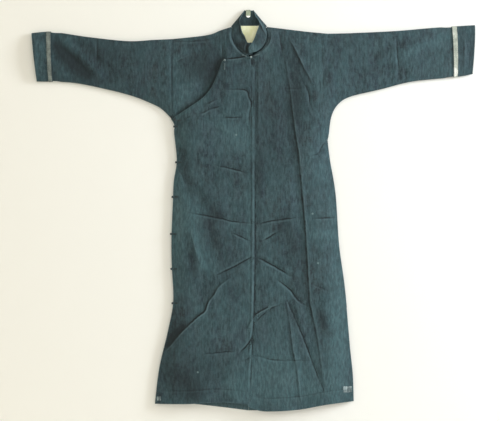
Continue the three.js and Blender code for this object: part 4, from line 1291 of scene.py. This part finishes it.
def build_collar():
    """The standing band, from its right front end round the back to the left end that covers it."""
    stations = np.linspace(0, 1, len(COLLAR))
    base_knots = np.array([(base[0], depth, base[1]) for base, depth, _, _ in COLLAR], float)
    top_knots = np.array([(top[0], depth, top[1]) for _, _, top, depth in COLLAR], float)

    def rail(knots, u):
        return np.stack([smooth_through(stations, knots[:, k], u) for k in range(3)], axis=1)

    def place(u, v):
        low, high = rail(base_knots, u), rail(top_knots, u)
        places = low + (high - low) * v[:, None]
        forward = smooth(-places[:, 1], 9, 14)
        places[:, 1] -= COLLAR_BOW * np.sin(np.pi * v) * forward
        places[:, 1] += forward * COLLAR_RIPPLE * np.sin(places[:, 0] * 0.17 + places[:, 2] * 0.09)
        return places

    def shade(x, y, z):
        """Lighter at the left end's tip, a little darker all over, and painted shade inside, under the left
        end and in the gap beside it.
        """
        inside = smooth(y, -9, -5) * smooth(-z, -19, 30)
        under = 0.5 * soft_spot(x, z, (-24, -104), (22, 24))
        tip = 2.5 * smooth(-y, 28, 31) * soft_spot(x, z, (16, -115), (17, 16))
        gap = 1.5 * soft_spot(x, z, (-9, -116), (8, 16))
        return tip - 0.5 * inside - 0.2 - under - gap

    piece = one_patch("collar_cloth", 160, 16, place, COLLAR_WALL, shade=shade)
    place_in_model(piece, "cloth", "homespun_cloth", "collar")
    return piece


def build_facing():
    """The undyed cloth inside the back of the neck, narrower further down."""
    heights, halves = np.array(FACING, float).T

    def place(u, v):
        z = heights[0] + (heights[-1] - heights[0]) * v
        x = 2 + np.interp(-z, -heights, halves) * (2 * u - 1)
        sag = 0.5 * np.sin(x * 0.11 + z * 0.05)
        return np.stack([x, back_depth(x, z) - FACING_LIFT + sag, z], axis=1)

    piece = one_patch("neck_facing_cloth", 40, 34, place, TRIM_WALL)
    place_in_model(piece, "facing", "neck_facing", "neck_facing")
    return piece


# Hook

HOOK = {"centre": -1.0, "half": 7.8, "bottom": -26.0, "bend": 17.6, "top": 20.2, "reach": -7.0, "tip": -6.0,
        "wall": 1.6, "radius": 2.6, "edge": 0.4}


def build_hook():
    """The bent strip: up the wall, forward over the collar's edge and down to a rounded tip."""
    top, reach, tip, radius = HOOK["top"], HOOK["reach"], HOOK["tip"], HOOK["radius"]
    path = [(0.0, HOOK["bottom"]), (0.0, 0.0), (0.0, HOOK["bend"])]
    for middle, first, last in ((-radius, 15, 90), (reach + radius, 90, 165)):
        for angle in np.radians(np.linspace(first, last, 6)):
            path.append((middle + radius * math.cos(angle), top - radius + radius * math.sin(angle)))
    path.append((reach, HOOK["bend"]))
    widths = [1.0] * len(path)
    for angle in np.radians(np.linspace(0, 84, 12)):
        path.append((reach, tip + HOOK["half"] * (1 - math.sin(angle))))
        widths.append(math.cos(angle))
    path, widths = np.array(path), np.array(widths)
    shares = np.linspace(0, 1, len(path))

    def place(u, v):
        depth, height, width = (np.interp(v, shares, values) for values in (path[:, 0], path[:, 1], widths))
        return np.stack([HOOK["centre"] + HOOK["half"] * width * (2 * u - 1), depth, height], axis=1)

    bm = bmesh.new()
    add_patch(bm, 8, len(path) - 1, place)
    face_forward(bm)
    piece = to_object("wall_hook_strip", bm)
    add_wall(piece, HOOK["wall"])
    edge = piece.modifiers.new("Edge", "BEVEL")
    edge.width = HOOK["edge"] * TO_METRES
    edge.segments = 2
    edge.limit_method = "ANGLE"
    place_in_model(piece, "hook", "hook_metal", "wall_hook")
    return piece


# Knotted buttons

BUTTONS = ["neck", "corner", "underarm"] + [f"side_{number}" for number in range(1, 7)]
CORD_RADIUS = 1.05
KNOT = {"radius": 2.55, "core": 2.4, "steps": 72, "rise": 58, "over": 0.12, "overhang": 1.5}
LEG = {"slant": 0.4, "tall": 7, "lift": 0.1, "spread": 1.02}


def box_of(node):
    """The corners of a solid's box in millimetres."""
    return [corner / TO_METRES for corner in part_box(node)]


def cord_tube(bm, points, closed=False):
    """Sweeps a cord's round section along points by a curve, and adds its mesh."""
    curve = bpy.data.curves.new("cord path", "CURVE")
    curve.dimensions = "3D"
    curve.bevel_depth = CORD_RADIUS
    curve.bevel_resolution = 2
    curve.use_fill_caps = True
    run = curve.splines.new("POLY")
    run.points.add(len(points) - 1)
    for point, co in zip(run.points, points):
        point.co = (*co, 1)
    run.use_cyclic_u = closed
    holder = bpy.data.objects.new("cord path", curve)
    mesh = bpy.data.meshes.new_from_object(holder)
    bm.from_mesh(mesh)
    bpy.data.objects.remove(holder)
    bpy.data.curves.remove(curve)
    bpy.data.meshes.remove(mesh)


def knot_points(centre):
    """A cord's closed way round a knot: three turns round it, rising and falling four times."""
    points = []
    for step in range(KNOT["steps"]):
        turn = 2 * math.pi * step / KNOT["steps"]
        longitude, latitude = 3 * turn, math.radians(KNOT["rise"]) * math.sin(4 * turn)
        reach = KNOT["radius"] * (1 + KNOT["over"] * math.cos(8 * turn))
        points.append((centre.x + reach * math.cos(latitude) * math.cos(longitude),
                       centre.y + reach * math.sin(latitude),
                       centre.z + reach * math.cos(latitude) * math.sin(longitude)))
    return points


def leg_points(start, end, wide):
    """A doubled cord from start round the far end and back, lying on the strip between them."""
    way = (end - start).normalized()
    across = Vector((-way.z, 0, way.x)) * wide
    out = [start.lerp(end, share) + across for share in np.linspace(0, 1, 6)]
    bend = [end + across * math.cos(angle) + way * wide * math.sin(angle)
            for angle in np.linspace(0.5, 2.64, 5)]
    return out + bend + [start.lerp(end, share) - across for share in np.linspace(1, 0, 6)]


def free_edge(z):
    """Where the outer front's free side edge lies at a height."""
    line = LINES["right"]["side"]
    return float(np.interp(-z, -line[:, 1], line[:, 0])) + SEAM_GAP - SIDE_INSET


def build_buttons():
    """Each knot over a round core, with its loop."""
    for name in BUTTONS:
        low, high = box_of(f"{name}_knot")
        centre = (low + high) / 2
        if name.startswith("side"):
            centre.x = free_edge(centre.z) - KNOT["overhang"]
        bm = bmesh.new()
        cord_tube(bm, knot_points(centre), closed=True)
        bmesh.ops.create_icosphere(bm, subdivisions=2, radius=KNOT["core"], matrix=Matrix.Translation(centre))
        button_piece(f"{name}_knot_cord", bm, f"{name}_knot")
        build_leg(f"{name}_loop", centre)
        if name == "neck":
            build_leg("neck_knot_leg", centre)


def build_leg(node, knot):
    """A loop's doubled cord in its solid's box, slanting from its knot where the box is tall."""
    low, high = box_of(node)
    middle, size, inset = (low + high) / 2, high - low, CORD_RADIUS * 2
    if size.z > size.x:
        ends = [Vector((middle.x, 0, high.z - inset)), Vector((middle.x, 0, low.z + inset))]
    else:
        slope = (knot.z - middle.z) * LEG["slant"] if size.z > LEG["tall"] else 0
        near_x, far_x = high.x - inset, low.x + inset
        if knot.x <= middle.x:
            near_x, far_x = far_x, near_x
        ends = [Vector((near_x, 0, middle.z + slope)), Vector((far_x, 0, middle.z - slope))]
    for end in ends:
        x, z = np.array([end.x]), np.array([end.z])
        end.y = float(front_depth(x, z, OUTER_STEP, OUTER_SWELL)[0]) - CORD_RADIUS - LEG["lift"]
        end.y = max(min(end.y, high.y - CORD_RADIUS), low.y + CORD_RADIUS)
    bm = bmesh.new()
    cord_tube(bm, leg_points(*ends, CORD_RADIUS * LEG["spread"]))
    button_piece(f"{node}_cord", bm, node)


def button_piece(name, bm, node):
    """Welds a cord's mesh and gives it a copy of the cord's colour by its place: a lighter one, a painted
    highlight, on the neck and corner knots, and a darker one, painted shade, on the side and underarm
    buttons.
    """
    bmesh.ops.remove_doubles(bm, verts=bm.verts, dist=CORD_WELD)
    bmesh.ops.recalc_face_normals(bm, faces=bm.faces)
    piece = to_object(name, bm)
    in_painted_shade = node.startswith(("side", "underarm"))
    look = "shaded_cord" if in_painted_shade else "cord" if node.endswith("knot") else "loop_cord"
    place_in_model(piece, look, "knot_cloth", node)


# Hem tabs

TAB_LIFT = 0.9


def build_tab(node, step, rise):
    """A hem tab on the front wall with that step and swell, and its width and height in metres."""
    low, high = box_of(node)

    def place(u, v):
        x = low.x + (high.x - low.x) * u + 0.5 * np.sin(7 * v)
        z = low.z + (high.z - low.z) * v + 0.4 * np.sin(9 * u)
        return np.stack([x, front_depth(x, z, step, rise) - TAB_LIFT, z], axis=1)

    piece = one_patch(f"{node}_cloth", 14, 14, place, TRIM_WALL)
    place_in_model(piece, "tab", "hem_tab", node)
    return piece, (high.x - low.x) * TO_METRES, (high.z - low.z) * TO_METRES


# Hand sewing

STITCH = {"pitch": 6.5, "length": 3.4, "radius": 0.32, "lift": 0.12}

# The rows' shares of their panels: across for the vent and the free edge, down for the hem and the placket,
# and along the sleeve's way for the cuff and the tape
HEM_ROW = 1 - 46 / 1180
VENT_ROW = 1 - 8 / 310
FREE_EDGE_ROW = 0.98
PLACKET_ROW = 5 / EDGE_ROLL["reach"] * EDGE_ROLL["rows"] / OUTER_ROWS
CUFF_ROW = 0.93
TAPE_ROWS = (0.12, 0.88)


def sew(bm, places):
    """Short capsule stitches in a row along places on the cloth's outside."""
    walked = np.concatenate([[0], np.cumsum(np.linalg.norm(np.diff(places, axis=0), axis=1))])
    size = Matrix.Diagonal((STITCH["length"] / 2, STITCH["radius"], STITCH["radius"], 1))
    for start in np.arange(STITCH["pitch"] / 2, walked[-1] - STITCH["length"], STITCH["pitch"]):
        near, far = (Vector([float(np.interp(at, walked, places[:, k])) for k in range(3)])
                     for at in (start, start + STITCH["length"]))
        turn = (far - near).to_track_quat("X", "Z").to_matrix().to_4x4()
        bmesh.ops.create_icosphere(bm, subdivisions=1, radius=1,
                                   matrix=Matrix.Translation((near + far) / 2) @ turn @ size)


def lifted(places):
    """The places, moved just clear of the cloth: forward on its front, back on its back."""
    places = places.copy()
    places[:, 1] += np.where(places[:, 1] < FOLD_DEPTH, -1, 1) * STITCH["lift"]
    return places


def panel_row(side, face, u, v):
    """Places on a half's skirt."""
    plane = half_patches(side, face)[1](u, v)
    x, z = plane[:, 0], plane[:, 1]
    return with_depth(plane, front_depth(x, z, 0.0, LEFT_SWELL) if face == "front" else back_depth(x, z))


def stitched(name, rows):
    """One piece of stitches: a row for each list of places."""
    bm = bmesh.new()
    for places in rows:
        sew(bm, lifted(places))
    piece = to_object(name, bm)
    piece.data.materials.append(MATERIALS["thread"])
    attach(piece, "root")
    return piece


def half_stitches(side):
    """The hem's and the vent's rows of one half, on each face that shows."""
    across, vent = np.linspace(0.02, 0.98, 120), np.linspace(0.865, 0.99, 60)
    rows = []
    for face in ("front", "back") if side == "left" else ("back",):
        rows.append(panel_row(side, face, across, np.full(120, HEM_ROW)))
        rows.append(panel_row(side, face, np.full(60, VENT_ROW), vent))
    return stitched(f"{side}_half_stitches", rows)


def outer_stitches():
    """Rows along the placket, the free side edge and the hem of the outer front."""
    count = 260
    across, down = np.linspace(0.01, 0.985, count), np.linspace(0.012, 0.995, count)
    return stitched("outer_front_stitches", [outer_places(across, np.full(count, PLACKET_ROW)),
                                             outer_places(np.full(count, FREE_EDGE_ROW), down),
                                             outer_places(across, np.full(count, HEM_ROW))])


def sleeve_stitches(side, rise):
    """Rows round the cuff's wrist edge and both edges of the tape, on the front and the back."""
    count = 60
    cuff, tape = band_places(side, rise)
    faces = [np.linspace(0.01, 0.43, count), np.linspace(0.51, 0.93, count)]
    bands = [(cuff, CUFF_ROW)] + [(tape, share) for share in TAPE_ROWS]
    rows = [place(face, np.full(count, share)) for place, share in bands for face in faces]
    return stitched(f"{side}_cuff_stitches", rows)


# The add-on

def paint(name, description, default):
    """A colour that a user would change."""
    return bpy.props.FloatVectorProperty(name=name, description=description, default=default, size=3, min=0,
                                         max=1, subtype="COLOR")


class ChangshanSettings(bpy.types.PropertyGroup):
    """Sizes and colours that a user would change"""
    cloth_thickness: bpy.props.FloatProperty(
        name="Cloth thickness", description="Wall of the robe's cotton", default=0.0012, min=0.0006,
        max=0.003, unit="LENGTH", subtype="DISTANCE")
    thread_pitch: bpy.props.FloatProperty(
        name="Thread pitch", description="Distance between the cloth's threads in millimetres", default=1.1,
        min=0.4, max=3.0)
    cloth: paint("Cloth", "Main colour of the indigo cloth", (0.017, 0.037, 0.044))
    deep: paint("Deep cloth", "Least faded indigo", (0.009, 0.02, 0.025))
    teal: paint("Faded teal", "Greener, faded patches", (0.036, 0.085, 0.096))
    # Also the colour of painted light in the lighter areas and strokes
    faded: paint("Worn teal", "Most faded areas", (0.052, 0.114, 0.128))
    blue: paint("Faded blue", "Bluer bands along the warp", (0.03, 0.052, 0.074))
    brown: paint("Browned cloth", "Soiled, browner cloth", (0.024, 0.029, 0.032))
    # Also the colour of painted highlights along creases and in the lightest areas, and partly of the paler
    # edges
    pale: paint("Worn crown", "Worn ridges, streaks and edges", (0.078, 0.135, 0.15))
    # The colour of all painted shade: along the creases, on their far sides and in the shaded areas and
    # strokes
    shadow: paint("Crease", "Dirt and depth in the creases", (0.004, 0.008, 0.01))


class CHANGSHAN_OT_materials(bpy.types.Operator):
    """Make the cloth, tape, cord and metal materials"""
    bl_idname = "changshan.materials"
    bl_label = "Materials"

    def execute(self, context):
        make_materials(context.scene.changshan)
        return {"FINISHED"}


class CHANGSHAN_OT_left_half(bpy.types.Operator):
    """Build the wearer's left half, front and back in one cloth"""
    bl_idname = "changshan.left_half"
    bl_label = "Left half"

    def execute(self, context):
        piece = build_half("left", LEFT_SWELL, ["left_half"])
        half_stitches("left")
        return {"FINISHED"}


class CHANGSHAN_OT_right_half(bpy.types.Operator):
    """Build the wearer's right half: the back and the under-flap in one cloth"""
    bl_idname = "changshan.right_half"
    bl_label = "Right half"

    def execute(self, context):
        piece = build_half("right", FLAP_SWELL, ["right_half"])
        half_stitches("right")
        return {"FINISHED"}


class CHANGSHAN_OT_outer_front(bpy.types.Operator):
    """Build the overlapping right front with its curved placket edge"""
    bl_idname = "changshan.outer_front"
    bl_label = "Outer front"

    def execute(self, context):
        piece = build_outer_front()
        outer_stitches()
        return {"FINISHED"}


# The cut of what shows of each sleeve, in metres: width and length of the cloths, and the sleeve's area
LEFT_SLEEVE_CUT = {"sleeve": (0.5, 0.73), "area": 0.195, "cuff": (0.075, 0.34), "tape": (0.016, 0.34)}
RIGHT_SLEEVE_CUT = {"sleeve": (0.48, 0.55), "area": 0.175, "cuff": (0.062, 0.34), "tape": (0.015, 0.34)}


class CHANGSHAN_OT_sleeves(bpy.types.Operator):
    """Build both sleeves with their turned-back cuffs and tapes"""
    bl_idname = "changshan.sleeves"
    bl_label = "Sleeves and cuffs"

    def execute(self, context):
        for side, rise, tape_material, cut in (("left", LEFT_SWELL, "left_tape", LEFT_SLEEVE_CUT),
                                               ("right", FLAP_SWELL, "right_tape", RIGHT_SLEEVE_CUT)):
            sleeve, cuff, tape = build_sleeve(side, rise, tape_material)
            sleeve_stitches(side, rise)
        return {"FINISHED"}


class CHANGSHAN_OT_collar(bpy.types.Operator):
    """Build the standing collar and the facing inside the neck"""
    bl_idname = "changshan.collar"
    bl_label = "Collar and facing"

    def execute(self, context):
        collar = build_collar()
        facing = build_facing()
        return {"FINISHED"}


class CHANGSHAN_OT_trims(bpy.types.Operator):
    """Build the knotted buttons, their loops and the hem tabs"""
    bl_idname = "changshan.trims"
    bl_label = "Buttons and tabs"

    def execute(self, context):
        build_buttons()
        for node, step, rise in (("right_hem_tab", OUTER_STEP, OUTER_SWELL),
                                 ("left_hem_tab", 0.0, LEFT_SWELL)):
            tab, width, height = build_tab(node, step, rise)
        return {"FINISHED"}


class CHANGSHAN_OT_hook(bpy.types.Operator):
    """Build the wall hook"""
    bl_idname = "changshan.hook"
    bl_label = "Wall hook"

    def execute(self, context):
        build_hook()
        return {"FINISHED"}


class CHANGSHAN_OT_stage(bpy.types.Operator):
    """Set the wall, the floor, the lights and the camera"""
    bl_idname = "changshan.stage"
    bl_label = "Stage"

    def execute(self, context):
        add_backdrop()
        add_lights()
        add_camera()
        return {"FINISHED"}


# The photo: millimetres to a pixel, its width and middle in pixels, the pixel at the model's origin, and how
# far away the camera stands in metres
PHOTO_SCALE = 3.375
PHOTO_WIDTH = 500
PHOTO_CENTRE = (250.0, 210.5)
PHOTO_ORIGIN = (248.5, 15.0)
VIEW_DISTANCE = 3.6
SENSOR_WIDTH = 36

# Half sizes and places of the wall and the floor
WALL_HALF = (3200, 2400, 1)
WALL_PLACE = (0, 0.6, 750)
FLOOR_HALF = (3200, 3200, 1)
FLOOR_PLACE = (0, -3200, -1650)

# Lamps, in metres and watts: place, aim, size, power and colour
LAMPS = {
    "right window": ((3.3, -1.25, 0.55), (-0.1, 0, -0.62), (0.9, 1.6), 125, (0.84, 0.91, 1.0)),
    "front fill": ((0.4, -3.8, 0.4), (0, 0, -0.7), (3.0, 2.4), 39, (1.0, 0.985, 0.93)),
    "back fill": ((-1.6, 3.2, 0.7), (0, 0, -0.7), (2.0, 1.6), 170, (1.0, 0.985, 0.93)),
}
ROOM_COLOUR = (1.0, 0.975, 0.87, 1)
ROOM_STRENGTH = 0.55


def add_plane(name, half, tilt, place, material):
    """A flat rectangle of the stage, tilted about its middle in degrees."""
    bm = bmesh.new()
    bmesh.ops.create_grid(bm, x_segments=1, y_segments=1, size=1)
    bmesh.ops.scale(bm, vec=half, verts=bm.verts)
    bmesh.ops.rotate(bm, cent=(0, 0, 0), matrix=Matrix.Rotation(math.radians(tilt), 3, "X"), verts=bm.verts)
    bmesh.ops.translate(bm, vec=place, verts=bm.verts)
    plane = to_object(name, bm)
    plane.data.materials.append(material)
    return plane


def add_backdrop():
    """A wall close behind the robe, which casts no shadow, and a floor."""
    wall = add_plane("wall", WALL_HALF, 90, WALL_PLACE, wall_paint())
    wall.visible_shadow = False
    floor = add_plane("floor", FLOOR_HALF, 0, FLOOR_PLACE, floor_paint())


def add_lights():
    """Three rectangular lamps and the room's own light."""
    for name, (place, aim, size, power, colour) in LAMPS.items():
        lamp = bpy.data.lights.new(name, "AREA")
        lamp.shape = "RECTANGLE"
        lamp.size, lamp.size_y = size
        lamp.energy = power
        lamp.color = colour
        holder = bpy.data.objects.new(name, lamp)
        bpy.context.collection.objects.link(holder)
        holder.location = place
        holder.rotation_euler = (Vector(aim) - Vector(place)).to_track_quat("-Z", "Y").to_euler()
    world = bpy.data.worlds.new("soft room")
    bpy.context.scene.world = world
    world.use_nodes = True
    world.node_tree.nodes["Background"].inputs["Color"].default_value = ROOM_COLOUR
    world.node_tree.nodes["Background"].inputs["Strength"].default_value = ROOM_STRENGTH


def add_camera():
    """The photo's view: level, and as wide as the photo at the robe."""
    camera = bpy.data.cameras.new("photo view")
    camera.lens = SENSOR_WIDTH / 2 / (PHOTO_WIDTH * PHOTO_SCALE * TO_METRES / 2 / VIEW_DISTANCE)
    holder = bpy.data.objects.new("photo view", camera)
    bpy.context.collection.objects.link(holder)
    centre_x = (PHOTO_CENTRE[0] - PHOTO_ORIGIN[0]) * PHOTO_SCALE * TO_METRES
    centre_z = (PHOTO_ORIGIN[1] - PHOTO_CENTRE[1]) * PHOTO_SCALE * TO_METRES
    holder.location = (centre_x, -VIEW_DISTANCE - 0.02, centre_z)
    holder.rotation_euler = (math.radians(90), 0, 0)
    bpy.context.scene.camera = holder
    bpy.context.scene.view_settings.view_transform = "Standard"


OPERATORS = [CHANGSHAN_OT_materials, CHANGSHAN_OT_left_half, CHANGSHAN_OT_right_half,
             CHANGSHAN_OT_outer_front, CHANGSHAN_OT_sleeves, CHANGSHAN_OT_collar, CHANGSHAN_OT_trims,
             CHANGSHAN_OT_hook, CHANGSHAN_OT_stage]


class CHANGSHAN_PT_panel(bpy.types.Panel):
    """Lists the robe's settings and pieces"""
    bl_idname = "CHANGSHAN_PT_panel"
    bl_label = "Changshan"
    bl_space_type = "VIEW_3D"
    bl_region_type = "UI"
    bl_category = "Changshan"

    def draw(self, context):
        for key in ChangshanSettings.__annotations__:
            self.layout.prop(context.scene.changshan, key)
        for operator in OPERATORS:
            self.layout.operator(operator.bl_idname)


CLASSES = [ChangshanSettings, *OPERATORS, CHANGSHAN_PT_panel]


def register():
    for item in CLASSES:
        bpy.utils.register_class(item)
    bpy.types.Scene.changshan = bpy.props.PointerProperty(type=ChangshanSettings)


def unregister():
    del bpy.types.Scene.changshan
    for item in reversed(CLASSES):
        bpy.utils.unregister_class(item)


def main():
    register()
    for operator in OPERATORS:
        group, name = operator.bl_idname.split(".")
        getattr(getattr(bpy.ops, group), name)()


if __name__ == "__main__":
    main()
